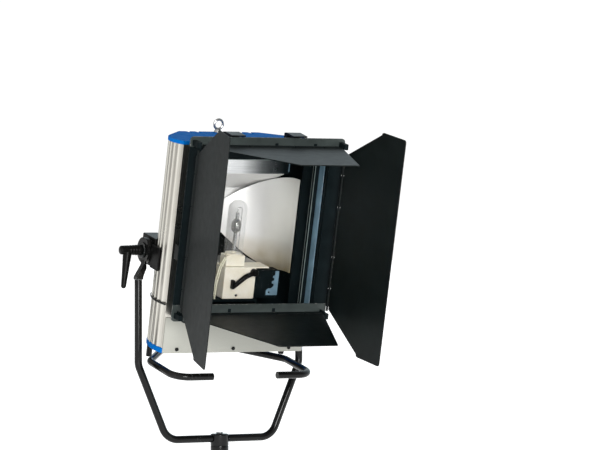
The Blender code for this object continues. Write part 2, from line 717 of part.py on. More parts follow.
def build_lamp_support():
    """Lampholder on its bracket, with the lamp's release lever, the igniter and a slotted bracket."""
    y0, y1 = LAMP_Y - 0.022, LAMP_Y + 0.024
    left, right, deck = -0.027, 0.051, -0.090
    body = box_mesh((left, y0, deck), (right, y1, HOLDER_TOP), 0.003)
    shelf = box_mesh((right - 0.006, y0 + 0.002, HOLDER_TOP - 0.003), (0.082, y1, HOLDER_TOP - 0.0005))
    add("lampholder", union(body, shelf), "ivory")
    screw = rod_mesh((0.006, y0 - GAP, -0.081), (0.006, y0 - 0.002, -0.081), 0.0032, sides=12)
    add("holder_screw", screw, "steel")
    plate = box_mesh((-0.060, y0, deck - 0.0055), (0.060, y1 + 0.020, deck - GAP))
    legs = [box_mesh((x - 0.0015, y0, HEAD_LOW + 0.0085), (x + 0.0015, y1 + 0.018, deck - 0.004))
            for x in (-0.058, 0.058)]
    add("holder_bracket", union(plate, *legs), "steel")
    strip_left, strip_right = 0.081, 0.109
    holes = [circle(strip_left + 0.008 + 0.011 * (i % 2), -0.073 + 0.011 * (i // 2), 0.0032, 8)
             for i in range(8)]
    vent = slab_mesh([rectangle(strip_left, strip_right, -0.082, -0.028), *holes], y0 + 0.002,
                     y0 + 0.0035, "front")
    add("slotted_bracket", vent, "steel")
    igniter = box_mesh((right + 0.001, y0 + 0.004, deck + 0.0005), (0.110, y1 - 0.010, -0.026), 0.002)
    add("igniter_box", igniter, "black_satin")
    pivot_x, pivot_z = 0.043, HOLDER_TOP - 0.011
    hub_back, hub_front = y0 - GAP, y0 - 0.0125
    arm_y = y0 - 0.007
    route = [(pivot_x, arm_y, pivot_z), (0.022, arm_y, pivot_z - 0.009), (-0.006, arm_y, pivot_z - 0.031)]
    arm = tube_mesh(filleted_path(route, 0.020, 3), 0.0055, 2)
    hub = rod_mesh((pivot_x, hub_back, pivot_z), (pivot_x, hub_front, pivot_z), 0.0078, sides=20,
                   chamfer=0.001)
    hook = box_mesh((-0.0115, hub_front, pivot_z - 0.036), (-0.0045, hub_back - 0.0015, pivot_z - 0.016),
                    0.0015)
    lever = add("lamp_lever", union(hub, arm, hook), "black_satin")
    pivot_at(lever, (pivot_x, arm_y, pivot_z))


def build_top_fittings():
    """Lifting eye, barndoor catches and the mains inlet gland."""
    ring_mesh = bpy.data.meshes.new("ring")
    shape = bmesh.new()
    turns, sides = 20, 8
    base = roof_z(EYE_Y - EYE_STEM_R) + GAP
    centre = Vector((EYE_X, EYE_Y, base + 0.017))
    rows = []
    for turn in range(turns):
        angle = 2 * math.pi * turn / turns
        out = Vector((math.cos(angle), 0, math.sin(angle)))
        row = []
        for k in range(sides):
            around = 2 * math.pi * k / sides
            spread = EYE_R + EYE_WIRE_R * math.cos(around)
            aside = Vector((0, EYE_WIRE_R * math.sin(around), 0))
            row.append(shape.verts.new(centre + out * spread + aside))
        rows.append(row)
    for turn in range(turns):
        for k in range(sides):
            near, far = rows[turn], rows[(turn + 1) % turns]
            shape.faces.new((near[k], near[(k + 1) % sides], far[(k + 1) % sides], far[k]))
    bmesh.ops.recalc_face_normals(shape, faces=shape.faces)
    shape.to_mesh(ring_mesh)
    shape.free()
    stem = rod_mesh((EYE_X, EYE_Y, base), (EYE_X, EYE_Y, base + 0.006), EYE_STEM_R, 0.006, sides=20)
    add("eye_bolt", union(stem, ring_mesh), "steel")
    for word, x in (("left", -CATCH_X), ("right", CATCH_X)):
        build_catch(word, x)
    gland_back = REAR_Y + 0.024
    flange = rod_mesh((GLAND_X, REAR_Y + GAP, GLAND_Z), (GLAND_X, REAR_Y + 0.006, GLAND_Z), 0.0135, sides=6)
    dome = rod_mesh((GLAND_X, REAR_Y + 0.005, GLAND_Z), (GLAND_X, gland_back, GLAND_Z), 0.0115, 0.0085,
                    sides=20)
    gland = cut(union(flange, dome),
                rod_mesh((GLAND_X, REAR_Y + 0.012, GLAND_Z), (GLAND_X, gland_back + 0.01, GLAND_Z), 0.005,
                         sides=16))
    add("cable_gland", gland, "black_satin")


def build_catch(word, x):
    """A sprung hook on the housing that holds down the top rail of the barndoor frame."""
    y, z = -0.131, HOUSING_TOP + 0.0055
    barrel = rod_mesh((x - 0.0195, y, z), (x + 0.0195, y, z), 0.005, sides=16)
    body = [(y - 0.004, z), (y + 0.005, z), (y + 0.004, z + 0.024), (y - 0.006, z + 0.0262),
            (y - 0.0385, z + 0.0247), (y - 0.0385, z + 0.0215), (y - 0.010, z + 0.0215)]
    hook = slab_mesh([body], x - 0.017, x + 0.017, "side")
    catch = add(f"barndoor_catch_{word}", union(hook, barrel), "black_satin")
    pivot_at(catch, (x, y, z))


def build_skid():
    """Bent tube under the head, open at the front, on four short posts."""
    corners = [
        (-SKID_END, SKID_FRONT, SKID_Z), (-SKID_HALF, SKID_FRONT, SKID_Z),
        (-SKID_HALF, -0.050, SKID_Z), (-0.085, 0.052, SKID_Z), (0.085, 0.052, SKID_Z),
        (SKID_HALF, -0.050, SKID_Z), (SKID_HALF, SKID_FRONT, SKID_Z), (SKID_END, SKID_FRONT, SKID_Z),
    ]
    add("skid_tube", tube_mesh(filleted_path(corners, 0.036, 5), SKID_R, 3), "black_gloss")
    top = HEAD_LOW - GAP
    low = SKID_Z + SKID_R + GAP
    for word, x, y in (("front_left", -0.164, -0.035), ("front_right", 0.164, -0.035),
                       ("rear_left", -0.080, 0.048), ("rear_right", 0.080, 0.048)):
        post = rod_mesh((x, y, low), (x, y, top), 0.0065, sides=16)
        add(f"skid_post_{word}", post, "black_gloss")


# Barndoors

def build_barndoor_frame():
    """Flat frame with a block at each corner that holds the ends of the hinge rods."""
    mid, tall = FRAME_MID_Z, FRAME_HALF_H
    outer = rounded(rectangle(-FRAME_HALF, FRAME_HALF, mid - tall, mid + tall), 0.008)
    inner = rounded(rectangle(-OPEN_HALF, OPEN_HALF, OPEN_LOW, OPEN_TOP), 0.004)
    ring = slab_mesh([outer, inner], FRAME_Y, FRAME_BACK, "front")
    blocks = []
    for side in (-1, 1):
        for rise in (-1, 1):
            x = sorted((side * CORNER_X, side * (FRAME_HALF - 0.0008)))
            z = sorted((mid + rise * CORNER_Z, mid + rise * (FRAME_HALF_H - 0.0013)))
            blocks.append(box_mesh((x[0], CORNER_FRONT, z[0]), (x[1], FRAME_Y + 0.001, z[1]), 0.0015, 1))
    add("barndoor_frame", union(ring, *blocks), "leaf_black")


def hinge_rod(name, start, end):
    add(name, rod_mesh(start, end, HINGE_ROD_R, sides=12), "steel")


def leaf_mesh(outline, knuckles):
    """A leaf in its own frame: the hinge runs along Y, the sheet spreads to +X and is thin in Z."""
    sheet = slab_mesh([outline], -SHEET / 2, SHEET / 2, "plan")
    eyes = [slab_mesh([circle(0, 0, KNUCKLE_R, 14), circle(0, 0, KNUCKLE_BORE, 10)],
                      low, high, "front") for low, high in knuckles]
    return union(sheet, *eyes)


def knuckle_spans(half):
    """Long knuckles with narrow breaks between them, out to a little short of the hinge's ends."""
    breaks = [-half + 0.005, *KNUCKLE_BREAKS, half - 0.005]
    return [(low + KNUCKLE_GAP / 2, high - KNUCKLE_GAP / 2) for low, high in zip(breaks, breaks[1:])]


def notched_root(half):
    """The hinge edge of a leaf, set back between its knuckles, from -half to +half."""
    back, near = 0.0062, 0.0034
    edge = [(back, -half)]
    for low, high in knuckle_spans(half):
        edge += [(back, low), (near, low), (near, high), (back, high)]
    edge.append((back, half))
    return edge


def build_leaves():
    """Two big leaves at the sides and two small ones above and below, each with its hinge rod."""
    mid = FRAME_MID_Z
    big_tip = rounded([(BIG_LEAF_CUT, BIG_LEAF_HALF), (BIG_LEAF_W, BIG_LEAF_HALF),
                       (BIG_LEAF_W, -BIG_LEAF_HALF), (BIG_LEAF_CUT, -BIG_LEAF_HALF)], 0.006, 3)
    big = leaf_mesh(notched_root(BIG_LEAF_ROOT) + big_tip, knuckle_spans(BIG_LEAF_ROOT))
    small_tip = rounded([(0.0062, SMALL_LEAF_ROOT), (SMALL_LEAF_W, SMALL_LEAF_TIP),
                         (SMALL_LEAF_W, -SMALL_LEAF_TIP), (0.0062, -SMALL_LEAF_ROOT)],
                        [0, 0.006, 0.006, 0], 3)
    small_root = notched_root(SMALL_LEAF_ROOT)[1:-1]
    small = leaf_mesh(small_root + small_tip, knuckle_spans(SMALL_LEAF_ROOT))
    # A leaf points along +X with its hinge on Y, so each is turned to its own hinge and opening.
    upright = Matrix.Rotation(math.radians(90), 4, "X")
    for side, word, angle in ((-1, "left", OPEN_ANGLE_LEFT), (1, "right", OPEN_ANGLE_RIGHT)):
        x, y = side * SIDE_HINGE[0], SIDE_HINGE[1]
        mesh = big.copy()
        mesh.transform(Matrix.Rotation(math.radians(-90) + side * angle, 4, "Z") @ upright)
        leaf = add(f"leaf_{word}", mesh, "leaf_black")
        leaf.location = (x, y, mid)
        reach = CORNER_Z - GAP
        hinge_rod(f"hinge_rod_{word}", (x, y, mid - reach), (x, y, mid + reach))
    across = Matrix.Rotation(math.radians(-90), 4, "Z")
    for side, word, angle in ((1, "top", OPEN_ANGLE_TOP), (-1, "bottom", OPEN_ANGLE_BOTTOM)):
        y, z = END_HINGE_Y, mid + side * END_HINGE_OFFSET
        mesh = small.copy()
        mesh.transform(Matrix.Rotation(-side * angle, 4, "X") @ across)
        leaf = add(f"leaf_{word}", mesh, "leaf_black")
        leaf.location = (0, y, z)
        reach = CORNER_X - GAP
        hinge_rod(f"hinge_rod_{word}", (-reach, y, z), (reach, y, z))


build_yoke()
build_lock_lever()
build_side_profiles()
build_end_caps()
build_base_and_rear()
build_front_panel()
build_front_housing()
build_inner_mask()
build_side_details()
build_reflector()
build_lamp()
build_lamp_support()
build_top_fittings()
build_skid()
build_barndoor_frame()
build_leaves()
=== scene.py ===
"""The looks of an open-face flood light with barndoors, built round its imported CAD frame."""

import json
import math

import bmesh
import bpy
from mathutils import Matrix, Vector


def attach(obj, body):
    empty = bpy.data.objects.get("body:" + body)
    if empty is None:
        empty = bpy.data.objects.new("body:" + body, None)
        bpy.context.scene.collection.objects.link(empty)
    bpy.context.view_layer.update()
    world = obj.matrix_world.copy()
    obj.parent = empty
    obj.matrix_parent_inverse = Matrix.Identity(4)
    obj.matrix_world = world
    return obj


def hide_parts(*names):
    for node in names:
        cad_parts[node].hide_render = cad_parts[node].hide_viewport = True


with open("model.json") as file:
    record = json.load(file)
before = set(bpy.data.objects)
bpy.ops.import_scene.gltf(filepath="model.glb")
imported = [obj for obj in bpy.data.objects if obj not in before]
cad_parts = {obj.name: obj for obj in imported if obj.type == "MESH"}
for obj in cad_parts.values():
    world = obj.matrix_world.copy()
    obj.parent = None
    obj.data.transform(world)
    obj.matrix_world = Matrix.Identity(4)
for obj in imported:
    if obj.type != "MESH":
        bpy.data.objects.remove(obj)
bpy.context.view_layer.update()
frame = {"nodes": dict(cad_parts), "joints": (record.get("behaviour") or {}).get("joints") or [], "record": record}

NODES = frame["nodes"]
BODY_OF = {node: body for body, members in frame["record"]["behaviour"]["bodies"].items()
           for node in members}
JOINTS = {joint["name"]: joint for joint in frame["joints"]}

# The head's own frame: its origin is on the tilt axis, and its Z runs along the side hinges.
PIVOT = Vector(JOINTS["head_tilt"]["pos_m"])
HEAD_UP = Vector(JOINTS["leaf_right_swing"]["axis"]).normalized()
HEAD_TILT = math.atan2(-HEAD_UP.y, HEAD_UP.z)
HEAD = Matrix.Translation(PIVOT) @ Matrix.Rotation(HEAD_TILT, 4, "X")
YOKE = Matrix.Translation(PIVOT)

FRONT_Y = -0.110             # plane of the lower front panel
REAR_Y = 0.065
HEAD_LOW = -0.203
HEAD_TOP = 0.266             # top of the roof at the front, from where it falls to the rear
ROOF_SLOPE = 0.080
ROOF_H = 0.008
CAP_H = 0.012
GAP = 0.0003                 # gap between parts that touch

SIDE_RADIUS = 0.118          # curved side extrusions, seen from above
SIDE_CENTRE = (0.061, -0.075)
SIDE_ARC_END = math.radians(40)
SIDE_WALL = 0.006
FLUTE_DEPTH = 0.0022
FLUTE_COUNT = 11
FLANGE = 0.003
HOUSING_HALF = 0.159

YOKE_TUBE_R = 0.0083
YOKE_HALF = 0.199
YOKE_BEND_Z = -0.250
YOKE_END_LOW = -0.064
YOKE_BAR_HALF = 0.129
YOKE_BAR_Z = -0.4145
YOKE_BEND_R = 0.040
BOSS_R = 0.020
BOSS_BELOW = 0.030
BOSS_ABOVE = 0.0105
SPIGOT_R = 0.01429
SPIGOT_H = 0.080

SKID_R = 0.0078
SKID_Z = -0.2375
SKID_HALF = 0.168
SKID_FRONT = -0.180
SKID_END = 0.079

FRAME_Y = -0.168             # front face of the barndoor frame
FRAME_BACK = -0.1645
FRAME_HALF = 0.188
FRAME_MID_Z = 0.0856
FRAME_HALF_H = 0.2023
FRAME_CORNER = 0.008
HINGE_LOW = FRAME_MID_Z - 0.1842      # axes of the small leaves
HINGE_TOP = FRAME_MID_Z + 0.1842
SMALL_HINGE_Y = -0.1831
BIG_HINGE_Y = -0.1908
BIG_HINGE_X = 0.178
LUG_R = 0.0052
LUG_Z = 0.1889               # middle of the lugs on the side hinges, above and below the frame's middle
OPEN_HALF = 0.155
OPEN_LOW = -0.080
OPEN_TOP = 0.266

LAMP_Y = -0.064
LAMP_R = 0.021
LAMP_TOP = 0.128
ARC_Z = 0.070
HOLDER_FACE = LAMP_Y - 0.022     # front face of the lampholder
HOLDER_TOP = -0.018

REFLECTOR_HALF = 0.122
REFLECTOR_FRONT = -0.105
REFLECTOR_DEPTH = 0.030
REFLECTOR_WALL = 0.0012
REFLECTOR_LOW = -0.033
REFLECTOR_ARCH = 0.079       # rise of the lower edge from REFLECTOR_LOW to the middle
REFLECTOR_LOW_FROM = 0.88    # share of the half width beyond which the lower edge rises again
REFLECTOR_TOP = 0.100
REFLECTOR_FLARE = 0.082      # rise of the upper edge from the middle to the sides
UPPER_PANEL_HALF = 0.117
UPPER_PANEL_Y = -0.0605

CAMERA_AT = (-3.43013, -6.56634, 0.55476)
CAMERA_HEADING = math.radians(28.951)
CAMERA_LENS = 201.986
CAMERA_SHIFT = 0.0187
KEY_LIGHT_AT = (-1.0, -3.5, 0.9)
KEY_LIGHT_AIM = (0, 0, 0.55)
KEY_LIGHT_SIZE = 1.2
KEY_LIGHT_POWER = 85
BRIGHT_SIDE = (-0.90, -0.43, 0.05)    # where the studio is brightest
STUDIO_SHADES = [(0.12, (0.80, 0.93, 0.98)), (0.33, (0.30, 0.31, 0.31)), (0.45, (0.40, 0.40, 0.40)),
                 (0.58, (0.30, 0.29, 0.27)), (0.72, (0.62, 0.61, 0.59)), (0.80, (1.0, 0.99, 0.97))]
BACKDROP_STRENGTH = 1.05
FLOOR_GLOW = 0.78


# Node materials

class Finish:
    """A material on one Principled shader, with the noise and bump that it is built up from."""

    def __init__(self, name, colour, roughness, metallic=0.0, **sockets):
        self.material = bpy.data.materials.new(name)
        self.material.use_nodes = True
        self.tree = self.material.node_tree
        self.shader = self.tree.nodes["Principled BSDF"]
        self.set(self.shader, "Base Color", (*colour, 1.0))
        self.set(self.shader, "Roughness", roughness)
        self.set(self.shader, "Metallic", metallic)
        for socket, value in sockets.items():
            self.set(self.shader, socket.replace("_", " "), value)
        self.coords = self.tree.nodes.new("ShaderNodeTexCoord").outputs["Object"]
        self.normal = None

    def set(self, node, socket, value):
        node.inputs[socket].default_value = value

    def link(self, source, target):
        self.tree.links.new(source, target)

    def noise(self, scale, detail=3.0, stretch=(1, 1, 1), distortion=0.0):
        """Noise over the piece's own space, in cycles per metre before the stretch."""
        mapping = self.tree.nodes.new("ShaderNodeMapping")
        self.set(mapping, "Scale", stretch)
        self.link(self.coords, mapping.inputs["Vector"])
        noise = self.tree.nodes.new("ShaderNodeTexNoise")
        self.set(noise, "Scale", scale)
        self.set(noise, "Detail", detail)
        self.set(noise, "Distortion", distortion)
        self.link(mapping.outputs["Vector"], noise.inputs["Vector"])
        return noise.outputs["Fac"]

    def ramp(self, factor, stops):
        """A colour or grey value by factor. stops are (place, grey or colour)."""
        ramp = self.tree.nodes.new("ShaderNodeValToRGB")
        elements = ramp.color_ramp.elements
        while len(elements) < len(stops):
            elements.new(0.5)
        for element, (place, value) in zip(elements, stops):
            colour = value if isinstance(value, tuple) else (value, value, value)
            element.position = place
            element.color = (*colour, 1.0)
        self.link(factor, ramp.inputs["Fac"])
        return ramp.outputs["Color"]

    def follow_head(self):
        """Patterns then run along the tilted head's axes, in metres from its pivot."""
        turn = self.tree.nodes.new("ShaderNodeMapping")
        turn.vector_type = "TEXTURE"
        self.set(turn, "Location", PIVOT)
        self.set(turn, "Rotation", (HEAD_TILT, 0, 0))
        self.link(self.coords, turn.inputs["Vector"])
        self.coords = turn.outputs["Vector"]

    def along(self, axis, start, end):
        """0 at start and 1 at end along one axis of the pattern's space, in metres."""
        split = self.tree.nodes.new("ShaderNodeSeparateXYZ")
        self.link(self.coords, split.inputs["Vector"])
        span = self.tree.nodes.new("ShaderNodeMapRange")
        self.set(span, "From Min", start)
        self.set(span, "From Max", end)
        self.link(split.outputs[axis], span.inputs["Value"])
        return span.outputs["Result"]

    def product(self, first, second):
        """The product of two sockets."""
        node = self.tree.nodes.new("ShaderNodeMath")
        node.operation = "MULTIPLY"
        self.link(first, node.inputs[0])
        self.link(second, node.inputs[1])
        return node.outputs["Value"]

    def mix(self, factor, first, second):
        """first where factor is 0 and second where it is 1. Each is a socket or a colour."""
        node = self.tree.nodes.new("ShaderNodeMix")
        node.data_type = "RGBA"
        self.link(factor, node.inputs["Factor"])
        for socket, value in ((node.inputs["A"], first), (node.inputs["B"], second)):
            if isinstance(value, tuple):
                socket.default_value = (*value, 1.0)
            else:
                self.link(value, socket)
        return node.outputs["Result"]

    def colour(self, source):
        self.link(source, self.shader.inputs["Base Color"])

    def roughness(self, source):
        self.link(source, self.shader.inputs["Roughness"])

    def bump(self, height, strength, distance):
        """Adds relief of about that distance in metres on top of any relief there is."""
        node = self.tree.nodes.new("ShaderNodeBump")
        self.set(node, "Strength", strength)
        self.set(node, "Distance", distance)
        self.link(height, node.inputs["Height"])
        if self.normal:
            self.link(self.normal, node.inputs["Normal"])
        self.normal = node.outputs["Normal"]
        self.link(self.normal, self.shader.inputs["Normal"])

    def worn_edges(self, base, worn):
        """The base colour with the worn colour showing in patches along bevelled edges."""
        edge = self.tree.nodes.new("ShaderNodeAttribute")
        edge.attribute_name = "edge_wear"
        patches = self.ramp(self.noise(140, 4), [(0.52, 0.0), (0.60, 1.0)])
        self.colour(self.mix(self.product(edge.outputs["Fac"], patches), base, worn))


def powder_coat(name, colour, roughness, worn, grain=0.00004, level=0.5):
    """Powder-coated metal: fine grain, faint clouds of dust and rubbed edges."""
    paint = Finish(name, colour, roughness, Specular_IOR_Level=level)
    clouds = paint.noise(22, 5, distortion=0.6)
    lighter = tuple(c * 1.35 + 0.001 for c in colour)
    darker = tuple(c * 0.8 for c in colour)
    paint.worn_edges(paint.ramp(clouds, [(0.32, darker), (0.72, lighter)]), worn)
    paint.roughness(paint.ramp(paint.noise(60, 4), [(0.3, roughness * 0.95), (0.75, roughness * 1.08)]))
    paint.bump(paint.noise(1900, 2), 0.25, grain)
    return paint.material


def gloss_tube_paint():
    """Thick gloss black enamel on tube, with slight orange peel and fine scratches."""
    paint = Finish("black_gloss_paint", (0.004, 0.004, 0.004), 0.14, Specular_IOR_Level=0.22)
    scratches = paint.ramp(paint.noise(420, 3, (1, 1, 0.04)), [(0.60, 0.0), (0.68, 1.0)])
    rare = paint.ramp(paint.noise(14, 2), [(0.55, 0.0), (0.62, 1.0)])
    paint.worn_edges(paint.mix(paint.product(scratches, rare), (0.004, 0.004, 0.004), (0.05, 0.05, 0.05)),
                     (0.16, 0.16, 0.16))
    paint.roughness(paint.ramp(paint.noise(45, 4), [(0.3, 0.09), (0.8, 0.22)]))
    paint.bump(paint.noise(260, 2), 0.05, 0.0002)
    return paint.material


def fluted_aluminium():
    """Satin anodised extrusion with drawn lines that run up it and light handling marks."""
    metal = Finish("fluted_aluminium", (0.55, 0.52, 0.48), 0.28, 1.0)
    metal.follow_head()
    lines = metal.noise(900, 3, (1, 1, 0.012))
    smears = metal.noise(16, 4, (1, 1, 0.35), 0.5)
    tone = metal.ramp(smears, [(0.30, (0.50, 0.48, 0.43)), (0.70, (0.60, 0.58, 0.54))])
    worn = metal.ramp(lines, [(0.35, (0.50, 0.48, 0.43)), (0.65, (0.60, 0.58, 0.53))])
    metal.colour(metal.mix(metal.ramp(smears, [(0.4, 0.25), (0.6, 0.6)]), tone, worn))
    metal.roughness(metal.ramp(metal.noise(30, 5), [(0.3, 0.27), (0.75, 0.32)]))
    metal.bump(lines, 0.02, 0.00002)
    return metal.material


def silver_paint():
    """Warm light-grey enamel with a faint metallic fleck."""
    paint = Finish("silver_paint", (0.40, 0.40, 0.36), 0.42, 0.1, Specular_IOR_Level=0.3)
    flakes = paint.ramp(paint.noise(2600, 1), [(0.35, (0.38, 0.38, 0.34)), (0.65, (0.42, 0.42, 0.38))])
    paint.worn_edges(flakes, (0.30, 0.30, 0.28))
    paint.roughness(paint.ramp(paint.noise(35, 4), [(0.3, 0.36), (0.7, 0.48)]))
    paint.bump(paint.noise(700, 2), 0.08, 0.00004)
    return paint.material


def moulded_plastic(name, colour, roughness, worn, grain=0.00012, level=0.5):
    """Moulded plastic with a fine grain and faded, rubbed edges."""
    plastic = Finish(name, colour, roughness, Specular_IOR_Level=level)
    faded = tuple(min(1.0, c * 1.15) for c in colour)
    plastic.worn_edges(plastic.ramp(plastic.noise(18, 5), [(0.3, colour), (0.8, faded)]), worn)
    plastic.roughness(plastic.ramp(plastic.noise(50, 4), [(0.3, roughness * 0.9), (0.8, roughness * 1.15)]))
    plastic.bump(plastic.noise(1300, 2), 0.30, grain)
    return plastic.material


def mirror_aluminium():
    """Rolled reflector sheet: a soft mirror, with painted shade that dulls it on the right and a painted brown
    shade along its lower edge.
    """
    metal = Finish("mirror_aluminium", (0.93, 0.93, 0.92), 0.42, 0.6, Specular_IOR_Level=0.3)
    metal.follow_head()
    tone = metal.ramp(metal.noise(9, 3), [(0.35, (0.95, 0.95, 0.95)), (0.75, (0.90, 0.89, 0.86))])
    # Painted shade: the tone turns dull grey towards the right edge.
    tone_shaded_right = metal.mix(metal.along("X", 0.085, 0.135), tone, (0.66, 0.66, 0.60))
    # Painted brown shade in patches, strongest at the lower edge.
    toward_lower_edge = metal.along("Z", REFLECTOR_LOW + 0.070, REFLECTOR_LOW)
    painted_low_shade = metal.product(toward_lower_edge, metal.ramp(metal.noise(30, 4), [(0.3, 0.6), (0.7, 1.0)]))
    metal.colour(metal.mix(painted_low_shade, tone_shaded_right, (0.38, 0.29, 0.12)))
    metal.roughness(metal.ramp(metal.noise(40, 4, (1, 1, 0.2)), [(0.3, 0.38), (0.75, 0.50)]))
    metal.bump(metal.noise(500, 2, (1, 1, 0.03)), 0.06, 0.00006)
    return metal.material


def brushed_plate():
    """Brushed aluminium sheet, with a painted dark blue shade across its right part."""
    metal = Finish("brushed_plate", (0.72, 0.74, 0.75), 0.13, 1.0)
    metal.follow_head()
    lines = metal.noise(1100, 3, (0.02, 1, 1))
    # Painted shade: dark blue-grey from the middle to the right edge.
    painted_shade_right = metal.ramp(metal.along("X", 0, UPPER_PANEL_HALF), [(0.0, 0.0), (0.45, 0.8), (0.9, 1.0)])
    bright = metal.ramp(lines, [(0.3, (0.60, 0.61, 0.61)), (0.7, (0.80, 0.81, 0.82))])
    metal.colour(metal.mix(painted_shade_right, bright, (0.022, 0.034, 0.038)))
    metal.roughness(metal.ramp(metal.noise(30, 4), [(0.3, 0.26), (0.75, 0.36)]))
    metal.bump(lines, 0.06, 0.00003)
    return metal.material


def plated_steel():
    """Zinc-plated steel with faint spangle and passivation tint."""
    metal = Finish("plated_steel", (0.40, 0.40, 0.39), 0.28, 1.0)
    spangle = metal.noise(160, 3, distortion=1.0)
    metal.worn_edges(metal.ramp(spangle, [(0.3, (0.34, 0.34, 0.34)), (0.6, (0.42, 0.42, 0.41)),
                                          (0.8, (0.46, 0.44, 0.38))]), (0.60, 0.60, 0.60))
    metal.roughness(metal.ramp(metal.noise(90, 4), [(0.3, 0.20), (0.75, 0.40)]))
    metal.bump(metal.noise(600, 2), 0.08, 0.00005)
    return metal.material


def clear_glass(name, colour, face_alpha, edge_alpha, smear_scale, metallic=0.0):
    """Thin clear glass. It lets light through by its alpha, which rises where it is seen edge on."""
    glass = Finish(name, colour, 0.03, metallic, Specular_IOR_Level=0.6)
    facing = glass.tree.nodes.new("ShaderNodeLayerWeight")
    glass.set(facing, "Blend", 0.35)
    alpha = glass.ramp(facing.outputs["Facing"], [(0.0, face_alpha), (0.55, face_alpha * 1.8),
                                                  (1.0, edge_alpha)])
    glass.link(alpha, glass.shader.inputs["Alpha"])
    glass.roughness(glass.ramp(glass.noise(smear_scale, 4), [(0.35, 0.02), (0.8, 0.10)]))
    return glass.material


def fired_ceramic(name, colour, roughness):
    """Pale steatite or ceramic: matt, slightly mottled, with tiny pits."""
    ceramic = Finish(name, colour, roughness, Subsurface_Weight=0.05)
    ceramic.set(ceramic.shader, "Subsurface Radius", (0.004, 0.003, 0.002))
    darker = tuple(c * f for c, f in zip(colour, (0.92, 0.90, 0.84)))
    ceramic.worn_edges(ceramic.ramp(ceramic.noise(48, 5), [(0.35, darker), (0.65, colour)]),
                       tuple(min(1.0, c * 1.05) for c in colour))
    ceramic.roughness(ceramic.ramp(ceramic.noise(90, 3), [(0.3, roughness * 0.85), (0.7, roughness * 1.2)]))
    ceramic.bump(ceramic.ramp(ceramic.noise(950, 2), [(0.30, 0.0), (0.42, 1.0)]), 0.25, 0.00008)
    return ceramic.material


def wire_sleeve():
    """Woven glass-fibre sleeve on the lamp wires."""
    sleeve = Finish("wire_sleeve", (0.80, 0.78, 0.60), 0.6, Sheen_Weight=0.3)
    braid = sleeve.noise(1500, 2)
    sleeve.colour(sleeve.ramp(braid, [(0.35, (0.62, 0.60, 0.42)), (0.65, (0.86, 0.84, 0.68))]))
    sleeve.bump(braid, 0.5, 0.0002)
    return sleeve.material


MATERIALS = {
    "black_gloss": gloss_tube_paint(),
    "black_satin": powder_coat("black_satin_paint", (0.004, 0.005, 0.005), 0.34, (0.08, 0.08, 0.08),
                               level=0.20),
    "leaf_black": powder_coat("leaf_black_paint", (0.002, 0.004, 0.004), 0.44, (0.08, 0.08, 0.07),
                              level=0.13),
    # Painted light: a lighter black for the frame's front-lit rails.
    "lit_rail_black": powder_coat("rail_black_paint", (0.030, 0.039, 0.037), 0.45, (0.20, 0.20, 0.19),
                              level=0.30),
    "matt_black": powder_coat("interior_black_paint", (0.003, 0.006, 0.007), 0.50, (0.015, 0.018, 0.018),
                              level=0.04),
    "blued": powder_coat("blued_strip_paint", (0.15, 0.25, 0.32), 0.40, (0.35, 0.40, 0.44), level=0.3),
    "deck_grey": powder_coat("deck_grey_paint", (0.26, 0.26, 0.25), 0.50, (0.35, 0.35, 0.35)),
    "aluminium": fluted_aluminium(),
    "panel_silver": silver_paint(),
    "reflector": mirror_aluminium(),
    "brushed": brushed_plate(),
    "steel": plated_steel(),
    "blue_plastic": moulded_plastic("blue_plastic", (0.0005, 0.115, 0.420), 0.60, (0.004, 0.16, 0.50),
                                    level=0.02),
    "black_plastic": moulded_plastic("black_plastic", (0.003, 0.003, 0.003), 0.30, (0.02, 0.02, 0.02),
                                     level=0.10),
    "seal": moulded_plastic("glass_seal_rubber", (0.16, 0.20, 0.19), 0.5, (0.3, 0.3, 0.3)),
    "glass": clear_glass("safety_glass", (0.02, 0.03, 0.03), 0.010, 0.10, 30),
    "quartz": clear_glass("quartz_glass", (0.95, 0.96, 0.95), 0.04, 0.30, 120),
    "arc_quartz": clear_glass("arc_quartz_glass", (0.80, 0.80, 0.76), 0.34, 0.9, 300, metallic=0.7),
    "ceramic": fired_ceramic("white_ceramic", (0.84, 0.80, 0.68), 0.42),
    "ivory": fired_ceramic("ivory_ceramic", (0.86, 0.82, 0.71), 0.46),
    "wire": wire_sleeve(),
}


# Mesh helpers

def place(name, mesh, material, body="", stands_for=(), space=None):
    """Adds a piece made in the given space, rides it on its body and hides the nodes it stands for."""
    if space is not None:
        mesh.transform(space)
    mesh.materials.clear()
    mesh.materials.append(MATERIALS[material])
    mesh.shade_smooth()
    mesh.set_sharp_from_angle(angle=math.radians(42))
    obj = bpy.data.objects.new(name, mesh)
    bpy.context.scene.collection.objects.link(obj)
    normals = obj.modifiers.new("normals", "WEIGHTED_NORMAL")
    normals.keep_sharp = True
    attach(obj, body or BODY_OF[stands_for[0]])
    if stands_for:
        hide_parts(*stands_for)


def to_mesh(shape):
    """The mesh of a bmesh, which it frees."""
    mesh = bpy.data.meshes.new("shape")
    bmesh.ops.recalc_face_normals(shape, faces=shape.faces)
    shape.to_mesh(mesh)
    shape.free()
    return mesh


def round_edges(shape, width, sharper_than=32, segments=2):
    """Rounds a shape's sharp edges and marks the new faces as edges that wear."""
    wear = shape.faces.layers.float.new("edge_wear")
    edges = [e for e in shape.edges
             if len(e.link_faces) == 2 and e.calc_face_angle(0) > math.radians(sharper_than)]
    made = bmesh.ops.bevel(shape, geom=edges, offset=width, offset_type="OFFSET", segments=segments,
                           profile=0.5, affect="EDGES", clamp_overlap=True)
    for face in made["faces"]:
        face[wear] = 1.0


